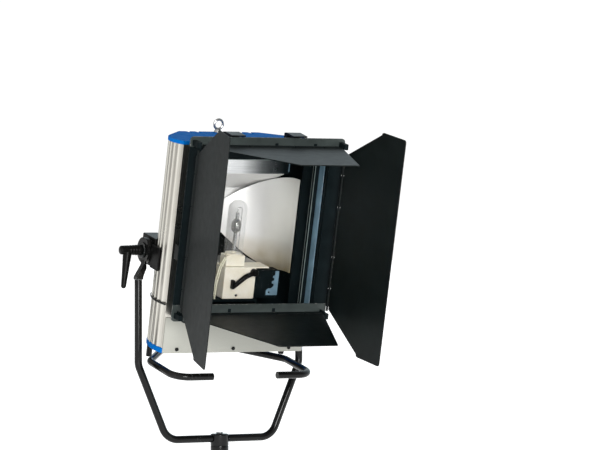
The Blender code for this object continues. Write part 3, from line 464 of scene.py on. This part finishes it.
def refined(node, material, width=0.0005):
    """A CAD node's shape with its flat faces merged and its edges rounded."""
    shape = bmesh.new()
    shape.from_mesh(NODES[node].data)
    bmesh.ops.remove_doubles(shape, verts=shape.verts, dist=0.000004)
    bmesh.ops.dissolve_limit(shape, angle_limit=math.radians(0.6), verts=shape.verts, edges=shape.edges)
    round_edges(shape, width)
    place(f"{node}_finished", to_mesh(shape), material, stands_for=[node])


def lathe(profile, sides=64):
    """A solid of revolution about Z from a profile of (radius, height), up from the axis and back."""
    shape = bmesh.new()
    points = [shape.verts.new((radius, 0, height)) for radius, height in profile]
    edges = [shape.edges.new(pair) for pair in zip(points, points[1:])]
    bmesh.ops.spin(shape, geom=points + edges, cent=(0, 0, 0), axis=(0, 0, 1),
                   angle=2 * math.pi, steps=sides, use_duplicate=False)
    bmesh.ops.remove_doubles(shape, verts=shape.verts, dist=0.00001)
    return to_mesh(shape)


def box(low, high, width=0.0005):
    """A block with rounded edges."""
    low, high = Vector(low), Vector(high)
    shape = bmesh.new()
    size = Matrix.Diagonal((*(high - low), 1))
    bmesh.ops.create_cube(shape, size=1, matrix=Matrix.Translation((low + high) / 2) @ size)
    round_edges(shape, width)
    return to_mesh(shape)


def curve_mesh(curve):
    """A curve's evaluated surface as a bmesh, with its doubled points merged."""
    guide = bpy.data.objects.new("guide", curve)
    bpy.context.scene.collection.objects.link(guide)
    bpy.context.view_layer.update()
    graph = bpy.context.evaluated_depsgraph_get()
    mesh = bpy.data.meshes.new_from_object(guide.evaluated_get(graph))
    bpy.data.objects.remove(guide)
    shape = bmesh.new()
    shape.from_mesh(mesh)
    bmesh.ops.remove_doubles(shape, verts=shape.verts, dist=0.00001)
    return shape


def tube(points, radius, resolution=10, taper=None):
    """A round tube or bar along points, with rounded ends. taper is the radius at the far end."""
    curve = bpy.data.curves.new("tube", "CURVE")
    curve.dimensions = "3D"
    curve.bevel_depth = radius
    curve.bevel_resolution = resolution
    curve.use_fill_caps = True
    spline = curve.splines.new("POLY")
    spline.points.add(len(points) - 1)
    for index, (point, where) in enumerate(zip(spline.points, points)):
        point.co = (*where, 1)
        if taper:
            point.radius = 1 + (taper / radius - 1) * index / (len(points) - 1)
    shape = curve_mesh(curve)
    round_edges(shape, radius * 0.12, 60)
    return to_mesh(shape)


PLANES = {
    "plan": Matrix.Identity(4),
    "front": Matrix(((1, 0, 0, 0), (0, 0, -1, 0), (0, 1, 0, 0), (0, 0, 0, 1))),
    "side": Matrix(((0, 0, 1, 0), (1, 0, 0, 0), (0, 1, 0, 0), (0, 0, 0, 1))),
}


def plate(loops, low, high, plane, width=0.0003, sharper_than=50):
    """An outline with any holes as a plate. Plan is (x, y), front is (x, z) and side is (y, z)."""
    curve = bpy.data.curves.new("outline", "CURVE")
    curve.dimensions = "2D"
    curve.fill_mode = "BOTH"
    curve.extrude = (high - low) / 2
    for loop in loops:
        spline = curve.splines.new("POLY")
        spline.points.add(len(loop) - 1)
        for point, (across, up) in zip(spline.points, loop):
            point.co = (across, up, 0, 1)
        spline.use_cyclic_u = True
    shape = curve_mesh(curve)
    bmesh.ops.dissolve_limit(shape, angle_limit=math.radians(0.1), verts=shape.verts, edges=shape.edges)
    if width:
        round_edges(shape, width, sharper_than)
    mesh = to_mesh(shape)
    middle = (low + high) / 2
    mesh.transform(PLANES[plane] @ Matrix.Translation((0, 0, -middle if plane == "front" else middle)))
    return mesh


def joined(*meshes):
    """One mesh that holds several closed shells."""
    shape = bmesh.new()
    for mesh in meshes:
        shape.from_mesh(mesh)
    mesh = bpy.data.meshes.new("joined")
    shape.to_mesh(mesh)
    shape.free()
    return mesh


def mirrored(mesh):
    """A copy of a mesh on the other side of X = 0."""
    copy = mesh.copy()
    copy.transform(Matrix.Diagonal((-1, 1, 1, 1)))
    copy.flip_normals()
    return copy


def filleted(corners, radius, steps=12):
    """An open line of points with each inner corner turned to an arc."""
    path = [Vector(corners[0])]
    for index in range(1, len(corners) - 1):
        here = Vector(corners[index])
        before = (Vector(corners[index - 1]) - here).normalized()
        after = (Vector(corners[index + 1]) - here).normalized()
        half = before.angle(after) / 2
        reach = radius / math.tan(half)
        centre = here + (before + after).normalized() * radius / math.sin(half)
        first, last = here + before * reach - centre, here + after * reach - centre
        for step in range(steps + 1):
            path.append(centre + first.slerp(last, step / steps).normalized() * radius)
    path.append(Vector(corners[-1]))
    return path


def circle(cx, cy, radius, sides):
    """Points round a circle."""
    angles = [2 * math.pi * i / sides for i in range(sides)]
    return [(cx + radius * math.cos(a), cy + radius * math.sin(a)) for a in angles]


def side_line(inset, steps=48):
    """Points down one side of the head seen from above, on +X, from the front to the rear."""
    cx, cy = SIDE_CENTRE
    radius = SIDE_RADIUS - inset
    start = math.asin((FRONT_Y - cy) / radius)
    angles = [start + (SIDE_ARC_END - start) * step / steps for step in range(steps + 1)]
    line = [Vector((cx + radius * math.cos(a), cy + radius * math.sin(a))) for a in angles]
    x, y = line[-1]
    slope = math.tan(SIDE_ARC_END)
    for step in range(1, 13):
        reach = (REAR_Y - y) * step / 12
        line.append(Vector((x - reach * slope, y + reach)))
    return line


# Yoke

def build_yoke():
    """Bent tube arms with flattened ends, the boss and spigot between them, and the right pivot."""
    for side, word in ((-1, "left"), (1, "right")):
        corners = [
            (side * (BOSS_R + GAP), 0, YOKE_BAR_Z),
            (side * YOKE_BAR_HALF, 0, YOKE_BAR_Z),
            (side * YOKE_HALF, 0, YOKE_BEND_Z),
            (side * YOKE_HALF, 0, YOKE_END_LOW - GAP),
        ]
        path = filleted(corners, YOKE_BEND_R)
        place(f"yoke_tube_{word}", tube(path, YOKE_TUBE_R, 14), "black_gloss",
              stands_for=[f"yoke_arm_{word}"], space=YOKE)
        refined(f"yoke_end_{word}", "black_gloss", 0.0012)
    build_boss()
    build_spigot()
    refined("pivot_washer_left", "black_satin")
    refined("pivot_bolt_right", "black_satin")


def build_boss():
    """Cast boss in the middle of the yoke's bar, with a parting line."""
    low, high = YOKE_BAR_Z - BOSS_BELOW, YOKE_BAR_Z + BOSS_ABOVE
    profile = [(0, low), (BOSS_R - 0.003, low)]
    for step in range(7):
        angle = math.radians(-90 + 15 * step)
        profile.append((BOSS_R - 0.0025 + 0.0025 * math.cos(angle), low + 0.0025 + 0.0025 * math.sin(angle)))
    middle = (low + high) / 2 - 0.006
    profile += [(BOSS_R, middle - 0.0012), (BOSS_R - 0.0008, middle), (BOSS_R, middle + 0.0012)]
    for step in range(7):
        angle = math.radians(15 * step)
        profile.append((BOSS_R - 0.004 + 0.004 * math.cos(angle), high - 0.004 + 0.004 * math.sin(angle)))
    profile.append((0, high))
    place("spigot_boss_cast", lathe(profile), "black_gloss", stands_for=["spigot_boss"], space=YOKE)
    refined("spigot_bolt", "steel", 0.0006)


def build_spigot():
    """Turned steel spigot with its locking groove and chamfered end."""
    profile = [(0, 0), (0.0108, 0), (0.0118, 0.0008), (SPIGOT_R - 0.0003, 0.0029), (SPIGOT_R, 0.0034),
               (SPIGOT_R, 0.0275), (SPIGOT_R - 0.0003, 0.0280), (0.0127, 0.0309), (0.0125, 0.0315),
               (0.0125, 0.0415), (0.0127, 0.0421), (SPIGOT_R - 0.0003, 0.0450), (SPIGOT_R, 0.0455),
               (SPIGOT_R, SPIGOT_H - 0.0006), (SPIGOT_R - 0.0006, SPIGOT_H), (0, SPIGOT_H)]
    place("spigot_turned", lathe(profile), "steel", stands_for=["spigot"])


def build_lock_lever():
    """Moulded clamping lever: ribbed hub, tapered arm and rounded tip."""
    x_in, x_out = -0.1929, -0.243
    rise = [(0, 0), (0.0100, 0), (0.0116, 0.0012), (0.0118, 0.004)]
    for groove in range(4):
        base = 0.008 + groove * 0.0065
        radius = 0.0116 - groove * 0.0004
        rise += [(radius, base), (radius - 0.0007, base + 0.0012), (radius - 0.0007, base + 0.0024),
                 (radius, base + 0.0036)]
    length = x_in - x_out
    rise += [(0.0100, length - 0.010), (0.0096, length - 0.0022), (0.0082, length - 0.0006),
             (0.0060, length), (0, length)]
    hub = lathe(rise, 48)
    hub.transform(Matrix.Translation((x_in, 0, 0)) @ Matrix.Rotation(math.radians(-90), 4, "Y"))
    top, end = Vector((-0.2250, 0, -0.004)), Vector((-0.2347, 0, -0.0788))
    arm = tube([top.lerp(end, step / 12) for step in range(13)], 0.0098, 10, taper=0.0056)
    tip = bmesh.new()
    bmesh.ops.create_uvsphere(tip, u_segments=28, v_segments=16, radius=0.0055,
                              matrix=Matrix.Translation((-0.2347, 0, -0.0778)))
    place("lock_lever_moulded", joined(hub, arm, to_mesh(tip)), "black_plastic",
          stands_for=["lock_lever"], space=YOKE)


# Head shell

def fluted_line():
    """A side extrusion's outer face from above: flat lands between round-bottomed flutes."""
    outer = side_line(0)
    lengths = [0.0]
    for first, second in zip(outer, outer[1:]):
        lengths.append(lengths[-1] + (second - first).length)
    total = lengths[-1]
    pattern = [(0.0, 0.0), (0.10, 0.0), (0.13, 0.12), (0.17, 0.45), (0.22, 0.80), (0.30, 0.97),
               (0.50, 1.0), (0.70, 0.97), (0.78, 0.80), (0.83, 0.45), (0.87, 0.12), (0.90, 0.0)]
    line = []
    for flute in range(FLUTE_COUNT):
        for share, depth in pattern:
            line.append(point_along(outer, lengths, total * (flute + share) / FLUTE_COUNT,
                                    FLUTE_DEPTH * depth))
    line.append(point_along(outer, lengths, total - 0.000001, 0))
    return line


def point_along(line, lengths, where, inset):
    """The point at a distance along a line, moved inward by inset."""
    index = next(i for i in range(1, len(lengths)) if lengths[i] >= where)
    share = (where - lengths[index - 1]) / (lengths[index] - lengths[index - 1])
    along = (line[index] - line[index - 1]).normalized()
    return line[index - 1].lerp(line[index], share) + Vector((-along.y, along.x)) * inset


def build_side_profiles():
    """Fluted extrusions with a flange along the front, cut off under the sloping roof."""
    flange_edge = HOUSING_HALF + GAP
    inner = side_line(SIDE_WALL)
    inner[0] = Vector((inner[0].x, FRONT_Y + FLANGE))
    wall = [Vector((flange_edge, FRONT_Y)), *fluted_line(), *reversed(inner),
            Vector((flange_edge, FRONT_Y + FLANGE))]
    mesh = plate([wall], HEAD_LOW + CAP_H + GAP, HEAD_TOP, "plan", 0.0002, 60)
    for point in mesh.vertices:
        if point.co.z > 0:
            point.co.z -= ROOF_H + GAP + (point.co.y - FRONT_Y) * ROOF_SLOPE
    place("side_extrusion_right", mesh.copy(), "aluminium", stands_for=["side_profile_right"], space=HEAD)
    place("side_extrusion_left", mirrored(mesh), "aluminium", stands_for=["side_profile_left"], space=HEAD)
    for word in ("left", "right"):
        refined(f"side_band_{word}", "black_satin", 0.0004)


def build_shell():
    """Covers, caps, panels and fittings that keep their CAD shape, with rounded edges."""
    refined("top_cover", "blue_plastic", 0.0007)
    for word in ("left", "right"):
        refined(f"bottom_cap_{word}", "blue_plastic", 0.0007)
        refined(f"pivot_block_{word}", "black_plastic", 0.0012)
        refined(f"accessory_bracket_{word}", "black_satin")
        refined(f"barndoor_catch_{word}", "black_plastic", 0.0008)
    refined("base_plate", "black_satin")
    refined("rear_cover", "black_satin", 0.0003)
    refined("lower_front_panel", "panel_silver")
    refined("front_housing", "matt_black", 0.0006)
    refined("glass_frame", "matt_black")
    refined("inner_mask", "matt_black", 0.0003)
    refined("safety_glass", "glass", 0.0004)
    refined("eye_bolt", "steel", 0.0004)
    refined("cable_gland", "black_plastic", 0.0005)


def screw_mesh(radius, height, sides=32):
    """A domed screw head on +Z from the origin, with a crossed recess."""
    profile = [(0, 0), (radius, 0), (radius, height * 0.35)]
    for step in range(1, 7):
        angle = math.radians(15 * step)
        profile.append((radius * (0.55 + 0.45 * math.cos(angle)), height * (0.35 + 0.65 * math.sin(angle))))
    profile.append((0, height))
    head = bpy.data.objects.new("head", lathe(profile, sides))
    bpy.context.scene.collection.objects.link(head)
    slots = []
    for turn in (0, 90):
        low = (-radius * 0.62, -radius * 0.11, height * 0.45)
        slot = box(low, (-low[0], -low[1], height * 2), 0)
        slot.transform(Matrix.Rotation(math.radians(turn), 4, "Z"))
        tool = bpy.data.objects.new("slot", slot)
        bpy.context.scene.collection.objects.link(tool)
        cut = head.modifiers.new("cut", "BOOLEAN")
        cut.solver = "EXACT"
        cut.object = tool
        slots.append(tool)
    bpy.context.view_layer.update()
    graph = bpy.context.evaluated_depsgraph_get()
    mesh = bpy.data.meshes.new_from_object(head.evaluated_get(graph))
    for helper in [head, *slots]:
        bpy.data.objects.remove(helper)
    return mesh


FACING_FRONT = Matrix.Rotation(math.radians(90), 4, "X")


def build_screws():
    """Crossed screws in the lower front panel, and one in the lampholder."""
    screw = screw_mesh(0.0042, 0.0022)
    # The panel screw heads are in black paint: painted shade for the dark recesses they sit in.
    for word, x in (("left", -0.138), ("middle", 0.0), ("right", 0.138)):
        mesh = screw.copy()
        mesh.transform(Matrix.Translation((x, FRONT_Y - 0.0026, HEAD_LOW + 0.009)) @ FACING_FRONT)
        place(f"panel_screw_{word}_head", mesh, "black_satin", stands_for=[f"panel_screw_{word}"],
              space=HEAD)
    mesh = screw_mesh(0.0032, 0.0017)
    mesh.transform(Matrix.Translation((0.006, HOLDER_FACE - GAP, -0.081)) @ FACING_FRONT)
    place("holder_screw_head", mesh, "steel", stands_for=["holder_screw"], space=HEAD)


def build_skid():
    """Tube skid under the head, open at the front, on four posts."""
    corners = [
        (-SKID_END, SKID_FRONT, SKID_Z), (-SKID_HALF, SKID_FRONT, SKID_Z),
        (-SKID_HALF, -0.050, SKID_Z), (-0.085, 0.052, SKID_Z), (0.085, 0.052, SKID_Z),
        (SKID_HALF, -0.050, SKID_Z), (SKID_HALF, SKID_FRONT, SKID_Z), (SKID_END, SKID_FRONT, SKID_Z),
    ]
    place("skid_tube_bent", tube(filleted(corners, 0.036), SKID_R, 14), "black_gloss",
          stands_for=["skid_tube"], space=HEAD)
    for word in ("front_left", "front_right", "rear_left", "rear_right"):
        refined(f"skid_post_{word}", "black_gloss", 0.0006)


# Optics

def build_reflector():
    """Bent mirror sheet behind the lamp, with an arched lower edge."""
    steps, rows = 72, 14

    def point(share, height, offset):
        swing = math.pi * (share - 0.5)
        x = (REFLECTOR_HALF + offset) * math.sin(swing)
        y = REFLECTOR_FRONT + (REFLECTOR_DEPTH - REFLECTOR_FRONT + offset) * math.cos(swing)
        spread = abs(math.sin(swing))
        middle = max(0, 1 - spread / REFLECTOR_LOW_FROM)
        low = REFLECTOR_LOW + REFLECTOR_ARCH * middle ** 1.25 + 0.05 * max(0, spread - REFLECTOR_LOW_FROM)
        high = REFLECTOR_TOP + REFLECTOR_FLARE * spread
        return (x, y, low + (high - low) * height)

    shape = bmesh.new()
    skins = []
    for offset in (0.0, REFLECTOR_WALL):
        skins.append([[shape.verts.new(point(i / steps, r / rows, offset)) for i in range(steps + 1)]
                      for r in range(rows + 1)])
    for grid in skins:
        for low, high in zip(grid, grid[1:]):
            for i in range(steps):
                shape.faces.new((low[i], low[i + 1], high[i + 1], high[i]))
    inner, outer = skins
    for row in (0, rows):
        for i in range(steps):
            shape.faces.new((inner[row][i], inner[row][i + 1], outer[row][i + 1], outer[row][i]))
    for end in (0, steps):
        for r in range(rows):
            shape.faces.new((inner[r][end], inner[r + 1][end], outer[r + 1][end], outer[r][end]))
    place("reflector_bent", to_mesh(shape), "reflector", stands_for=["reflector_main"], space=HEAD)
    build_upper_reflector()


def build_upper_reflector():
    """The panel over the mirror, the bent sheet behind it, and its end strip with screws."""
    front = UPPER_PANEL_Y
    panel = box((-UPPER_PANEL_HALF, front, 0.1850), (UPPER_PANEL_HALF, front + 0.0012, 0.2400), 0.0003)
    line = [(front, 0.1845), (0, 0.1562), (0.031, 0.1337), (0.0340, 0.095),
            (0.0350, 0.095), (0.0322, 0.1349), (0.0004, 0.1575), (front, 0.1860)]
    sheet = plate([line], -0.106, 0.106, "side", 0.0002)
    place("upper_reflector_panel", panel, "brushed", body="head", space=HEAD)
    place("upper_reflector_sheet", sheet, "reflector", stands_for=["reflector_top"], space=HEAD)
    strip = box((0.1152, front - 0.0016, 0.1900), (0.1176, front - 0.0002, 0.2360), 0.0002)
    place("upper_reflector_strip", strip, "blued", body="head", space=HEAD)
    for number, z in enumerate((0.2215, 0.2085), 1):
        mesh = screw_mesh(0.0028, 0.0016)
        mesh.transform(Matrix.Translation((0.1090, front - 0.0001, z)) @ FACING_FRONT)
        place(f"upper_reflector_screw_{number}", mesh, "black_satin", body="head", space=HEAD)


def build_lamp():
    """Discharge lamp: quartz jacket, arc tube with its bulb, leads and ceramic base."""
    at = HEAD @ Matrix.Translation((0, LAMP_Y, 0))
    wall, bottom = 0.0012, 0.010
    outer = [(LAMP_R, bottom), (LAMP_R, LAMP_TOP - LAMP_R)]
    inner = [(LAMP_R - wall, bottom), (LAMP_R - wall, LAMP_TOP - LAMP_R)]
    for step in range(1, 19):
        angle = math.radians(5 * step)
        turn = (math.cos(angle), math.sin(angle))
        outer.append((max(0, LAMP_R * turn[0]), LAMP_TOP - LAMP_R + LAMP_R * turn[1]))
        inner.append((max(0, (LAMP_R - wall) * turn[0]), LAMP_TOP - LAMP_R + (LAMP_R - wall) * turn[1]))
    shell = list(reversed(inner)) + outer
    place("lamp_jacket", lathe(shell, 64), "quartz", stands_for=["lamp_envelope"], space=at)
    stem, bulb_r, bulb_rise = 0.0040, 0.0115, 0.016
    profile = [(0, 0.014), (stem - 0.0004, 0.014), (stem, 0.0146), (stem, 0.050)]
    for step in range(1, 24):
        angle = math.radians(-90 + 7.5 * step)
        profile.append((max(stem, bulb_r * math.cos(angle)), ARC_Z + bulb_rise * math.sin(angle)))
    profile += [(stem, 0.092), (stem, 0.0994), (stem - 0.0004, 0.100), (0, 0.100)]
    place("arc_tube_blown", lathe(profile, 48), "arc_quartz", stands_for=["arc_tube"], space=at)
    build_lamp_leads(at)
    base = box((-0.023, -0.015, HOLDER_TOP + GAP), (0.023, 0.015, 0.006), 0.0016)
    collar = lathe([(0, 0.004), (0.0185, 0.004), (0.0185, 0.0089), (0.0177, 0.0097), (0.005, 0.0097),
                    (0.005, 0.0128), (0.0046, 0.0132), (0, 0.0132)], 64)
    place("lamp_base_fired", joined(base, collar), "ceramic", stands_for=["lamp_base"], space=at)


def build_lamp_leads(at):
    """Metal foil stems above and below the arc, and the return wire beside it."""
    stems = joined(
        box((-0.0026, -0.0004, 0.0185), (0.0026, 0.0004, 0.0500), 0.0001),
        box((-0.0026, -0.0004, 0.0880), (0.0026, 0.0004, 0.0990), 0.0001),
        tube([(0, 0, 0.0545), (0, 0, 0.0650)], 0.0009, 5),
        tube([(0, 0, 0.0750), (0, 0, 0.0860)], 0.0009, 5),
    )
    stems.transform(Matrix.Translation((0, -0.0045, 0)))
    corners = [(0.013, 0.004, 0.0100), (0.013, 0.004, 0.108), (0, 0, 0.112), (0, 0, 0.1005)]
    return_wire = tube(filleted(corners, 0.004), 0.0008, 5)
    place("lamp_return_wire", return_wire, "steel", body="head", space=at)
    place("lamp_foil_stems", stems, "steel", body="head", space=at)


def build_slotted_bracket():
    """Upright strip with uneven notches down its left edge, and a foot with one hole."""
    left, right, low, high = 0.081, 0.109, -0.082, -0.028
    notches = [(0.0960, -0.0640), (0.0990, -0.0620), (0.0990, -0.0570), (0.0940, -0.0555), (0.0940, -0.0510),
               (0.0990, -0.0490), (0.0990, -0.0445), (0.0955, -0.0430), (0.0955, -0.0390), (0.1000, -0.0375)]
    outline = [(right, high), (right, low), (left, low), (left, low + 0.011), (left + 0.0055, low + 0.015),
               (left + 0.0125, low + 0.015), *notches, (0.1000, high)]
    hole = circle(left + 0.0075, low + 0.0060, 0.0025, 10)
    mesh = plate([outline, hole], HOLDER_FACE + 0.0020, HOLDER_FACE + 0.0035, "front", 0.0002)
    place("slotted_bracket_strip", mesh, "blued", stands_for=["slotted_bracket"], space=HEAD)


def build_lamp_support():
    """Lampholder with its bracket, the igniter box and the hooked release lever."""
    refined("lampholder", "ivory", 0.0012)
    refined("holder_bracket", "matt_black", 0.0003)
    build_slotted_bracket()
    refined("igniter_box", "matt_black")
    y = HOLDER_FACE
    hub_r, hub_h = 0.0078, 0.0122
    hub = lathe([(0, 0), (hub_r - 0.0004, 0), (hub_r, 0.0004), (hub_r, hub_h - 0.0010),
                 (hub_r - 0.0008, hub_h), (0.003, hub_h), (0.003, 0.0110), (0, 0.0110)], 40)
    x, z = 0.043, HOLDER_TOP - 0.011
    hub.transform(Matrix.Translation((x, y - GAP, z)) @ FACING_FRONT)
    route = [(x, y - 0.007, z), (0.022, y - 0.007, z - 0.009), (-0.0065, y - 0.007, z - 0.0315)]
    arm = tube(filleted(route, 0.020), 0.0054, 8)
    hook = box((-0.0115, y - 0.0122, z - 0.036), (-0.0045, y - 0.0020, z - 0.016), 0.0015)
    place("lamp_lever_moulded", joined(hub, arm, hook), "black_plastic", stands_for=["lamp_lever"],
          space=HEAD)


def build_mouth_trim():
    """Blued rails at the sides of the mouth, and a seal on each side of the glass."""
    for side, word in ((-1, "left"), (1, "right")):
        low, high = sorted((side * 0.1514, side * 0.1526))
        strip = box((low, -0.1555, -0.1080), (high, -0.1325, 0.2400), 0.0004)
        place(f"mouth_rail_{word}", strip, "blued", body="head", space=HEAD)
    half, bottom, top, rim = 0.1418, -0.0968, 0.2328, 0.0013
    outer = [(-half, bottom), (half, bottom), (half, top), (-half, top)]
    inner = [(x - math.copysign(rim, x), z + (rim if z == bottom else -rim)) for x, z in outer]
    for word, y in (("front", -0.1350), ("rear", -0.1256)):
        place(f"glass_seal_{word}", plate([outer, inner], y, y + 0.0009, "front", 0), "seal",
              body="head", space=HEAD)


def build_side_liners():
    """Thin dark liners that follow the inside of the side extrusions."""
    near, thickness = SIDE_WALL + 0.0006, 0.0008
    wall = side_line(near) + list(reversed(side_line(near + thickness)))
    liner = plate([wall], -0.1860, 0.2380, "plan", 0)
    place("interior_liner_right", liner.copy(), "matt_black", body="head", space=HEAD)
    place("interior_liner_left", mirrored(liner), "matt_black", body="head", space=HEAD)


def build_deck_and_baffle():
    """The deck behind the lampholder, and a dark baffle in front of the lower vent slots."""
    baffle = box((-0.0850, 0.0520, -0.1750), (0.0850, 0.0535, -0.0920), 0.0002)
    place("vent_baffle", baffle, "matt_black", body="head", space=HEAD)
    deck = box((-0.0500, LAMP_Y + 0.0240, -0.0200), (0.0740, 0.0280, -0.0186), 0.0003)
    place("reflector_deck", deck, "deck_grey", body="head", space=HEAD)


def build_lamp_wires():
    """Two sleeved wires from the lamp base down the left of the lampholder."""
    for number, shift in enumerate((0.0, 0.0046), 1):
        route = [(-0.0215 - shift, -0.0765, 0.0020), (-0.0330 - shift, -0.0780, -0.0200),
                 (-0.0400 - shift, -0.0790, -0.0550), (-0.0420 - shift, -0.0790, -0.0920)]
        wire = tube(filleted(route, 0.012), 0.0015, 6)
        place(f"lamp_wire_{number}", wire, "wire", body="head", space=HEAD)


# Barndoors

def lug(x, y, radius):
    """An eye round a hinge rod at (x, y), with straight sides back to the frame."""
    arc = [(x + radius * math.cos(math.radians(180 + 15 * step)),
            y + radius * math.sin(math.radians(180 + 15 * step))) for step in range(13)]
    return [(x - radius, FRAME_Y), *arc, (x + radius, FRAME_Y)]


def build_frame_rails():
    """The frame's top and bottom rails, with rounded outer corners, in a lighter black than the side members:
    painted light where the front light falls on them.
    """
    for word, inner, outer in (("bottom", OPEN_LOW, FRAME_MID_Z - FRAME_HALF_H),
                               ("top", OPEN_TOP, FRAME_MID_Z + FRAME_HALF_H)):
        rise = math.copysign(FRAME_CORNER, outer - inner)
        ends = []
        for step in range(7):
            angle = math.radians(15 * step)
            ends.append((FRAME_HALF - FRAME_CORNER * (1 - math.sin(angle)),
                         outer - rise * (1 - math.cos(angle))))
        outline = [(FRAME_HALF, inner), *reversed(ends), *[(-x, z) for x, z in ends], (-FRAME_HALF, inner)]
        place(f"frame_rail_{word}", plate([outline], FRAME_Y, FRAME_BACK, "front", 0.0005), "lit_rail_black",
              body="head", space=HEAD)


def build_hinge_clips():
    """Small black clips on the rails beside the hinges of the small leaves."""
    for word, z, places in (("bottom", HINGE_LOW + 0.0050, (-0.050, 0.058)),
                            ("top", HINGE_TOP + 0.0022, (0.020, 0.115))):
        for number, x in enumerate(places, 1):
            clip = box((x - 0.0035, FRAME_Y - 0.0012, z - 0.0040),
                       (x + 0.0035, FRAME_Y + 0.0002, z + 0.0040), 0.0004)
            place(f"hinge_clip_{word}_{number}", clip, "matt_black", body="head", space=HEAD)


def build_frame_sides():
    """The frame's side members, each with lugs for the ends of the hinge rods. They are in the dark interior black
    as painted shade.
    """
    member = [(OPEN_HALF, OPEN_LOW), (FRAME_HALF, OPEN_LOW), (FRAME_HALF, OPEN_TOP), (OPEN_HALF, OPEN_TOP)]
    shells = [plate([member], FRAME_Y, FRAME_BACK, "front", 0.0005)]
    for z in (FRAME_MID_Z - LUG_Z, FRAME_MID_Z + LUG_Z):
        outline = lug(BIG_HINGE_X, BIG_HINGE_Y, LUG_R)
        shells.append(plate([outline], z - 0.0060, z + 0.0060, "plan", 0.0006))
    for z in (HINGE_LOW, HINGE_TOP):
        outline = [(back, z + across) for across, back in lug(0, SMALL_HINGE_Y, LUG_R)]
        shells.append(plate([outline], 0.1727, 0.1765, "side", 0.0006))
    side = joined(*shells)
    # Painted shade: the side members take the dark interior black, not the rails' paint.
    place("frame_side_right", side.copy(), "matt_black", body="head", space=HEAD)
    place("frame_side_left", mirrored(side), "matt_black", stands_for=["barndoor_frame"], space=HEAD)


def build_leaves():
    """The four leaves and their hinge rods."""
    for word in ("left", "right", "top", "bottom"):
        refined(f"leaf_{word}", "leaf_black", 0.0003)
        refined(f"hinge_rod_{word}", "leaf_black", 0.0003)


# Stage, light and camera

def build_floor():
    """A pale floor that glows a little, so that it meets the backdrop without an edge."""
    shape = bmesh.new()
    bmesh.ops.create_grid(shape, x_segments=1, y_segments=1, size=60)
    floor = bpy.data.objects.new("floor", to_mesh(shape))
    bpy.context.scene.collection.objects.link(floor)
    paper = Finish("studio_floor", (0.92, 0.92, 0.92), 0.9)
    paper.colour(paper.ramp(paper.noise(3, 4), [(0.3, (0.915, 0.915, 0.915)), (0.7, (0.93, 0.93, 0.93))]))
    paper.set(paper.shader, "Emission Color", (1, 1, 1, 1))
    paper.set(paper.shader, "Emission Strength", FLOOR_GLOW)
    floor.data.materials.append(paper.material)


def build_key_light():
    """One soft square light in front of the lamp, a little to its left."""
    light = bpy.data.lights.new("key", "AREA")
    light.shape = "SQUARE"
    light.size = KEY_LIGHT_SIZE
    light.energy = KEY_LIGHT_POWER
    obj = bpy.data.objects.new("key", light)
    bpy.context.scene.collection.objects.link(obj)
    obj.location = KEY_LIGHT_AT
    toward = Vector(KEY_LIGHT_AIM) - Vector(KEY_LIGHT_AT)
    obj.rotation_euler = toward.to_track_quat("-Z", "Y").to_euler()


def build_world():
    """White where the camera sees it. As light, it is bright on the left and in front and dim behind."""
    world = bpy.data.worlds.new("studio")
    world.use_nodes = True
    nodes, links = world.node_tree.nodes, world.node_tree.links
    white = nodes["Background"]
    white.inputs["Color"].default_value = (1, 1, 1, 1)
    white.inputs["Strength"].default_value = BACKDROP_STRENGTH
    coords = nodes.new("ShaderNodeTexCoord")
    facing = nodes.new("ShaderNodeVectorMath")
    facing.operation = "DOT_PRODUCT"
    facing.inputs[1].default_value = BRIGHT_SIDE
    links.new(coords.outputs["Generated"], facing.inputs[0])
    graded = nodes.new("ShaderNodeValToRGB")
    elements = graded.color_ramp.elements
    while len(elements) < len(STUDIO_SHADES):
        elements.new(0.5)
    for element, (position, shade) in zip(elements, STUDIO_SHADES):
        element.position = position
        element.color = (*shade, 1.0)
    halved = nodes.new("ShaderNodeMath")
    halved.operation = "MULTIPLY_ADD"
    halved.inputs[1].default_value = 0.5
    halved.inputs[2].default_value = 0.5
    links.new(facing.outputs["Value"], halved.inputs[0])
    links.new(halved.outputs["Value"], graded.inputs["Fac"])
    light = nodes.new("ShaderNodeBackground")
    links.new(graded.outputs["Color"], light.inputs["Color"])
    path = nodes.new("ShaderNodeLightPath")
    mix = nodes.new("ShaderNodeMixShader")
    links.new(path.outputs["Is Camera Ray"], mix.inputs[0])
    links.new(light.outputs["Background"], mix.inputs[1])
    links.new(white.outputs["Background"], mix.inputs[2])
    links.new(mix.outputs["Shader"], nodes["World Output"].inputs["Surface"])
    bpy.context.scene.world = world
    bpy.context.scene.view_settings.view_transform = "Standard"


def build_camera():
    """Level, a long way back and to the lamp's left, with a long lens."""
    camera = bpy.data.cameras.new("camera")
    camera.sensor_width = 36
    camera.lens = CAMERA_LENS
    camera.shift_y = CAMERA_SHIFT
    camera.clip_end = 200
    obj = bpy.data.objects.new("camera", camera)
    bpy.context.scene.collection.objects.link(obj)
    obj.location = CAMERA_AT
    obj.rotation_euler = (math.radians(90), 0, -CAMERA_HEADING)
    bpy.context.scene.camera = obj


build_camera()
build_yoke()
build_lock_lever()
build_side_profiles()
build_shell()
build_screws()
build_skid()
build_reflector()
build_lamp()
build_lamp_support()
build_mouth_trim()
build_side_liners()
build_deck_and_baffle()
build_lamp_wires()
build_frame_rails()
build_hinge_clips()
build_frame_sides()
build_leaves()
build_floor()
build_world()
build_key_light()
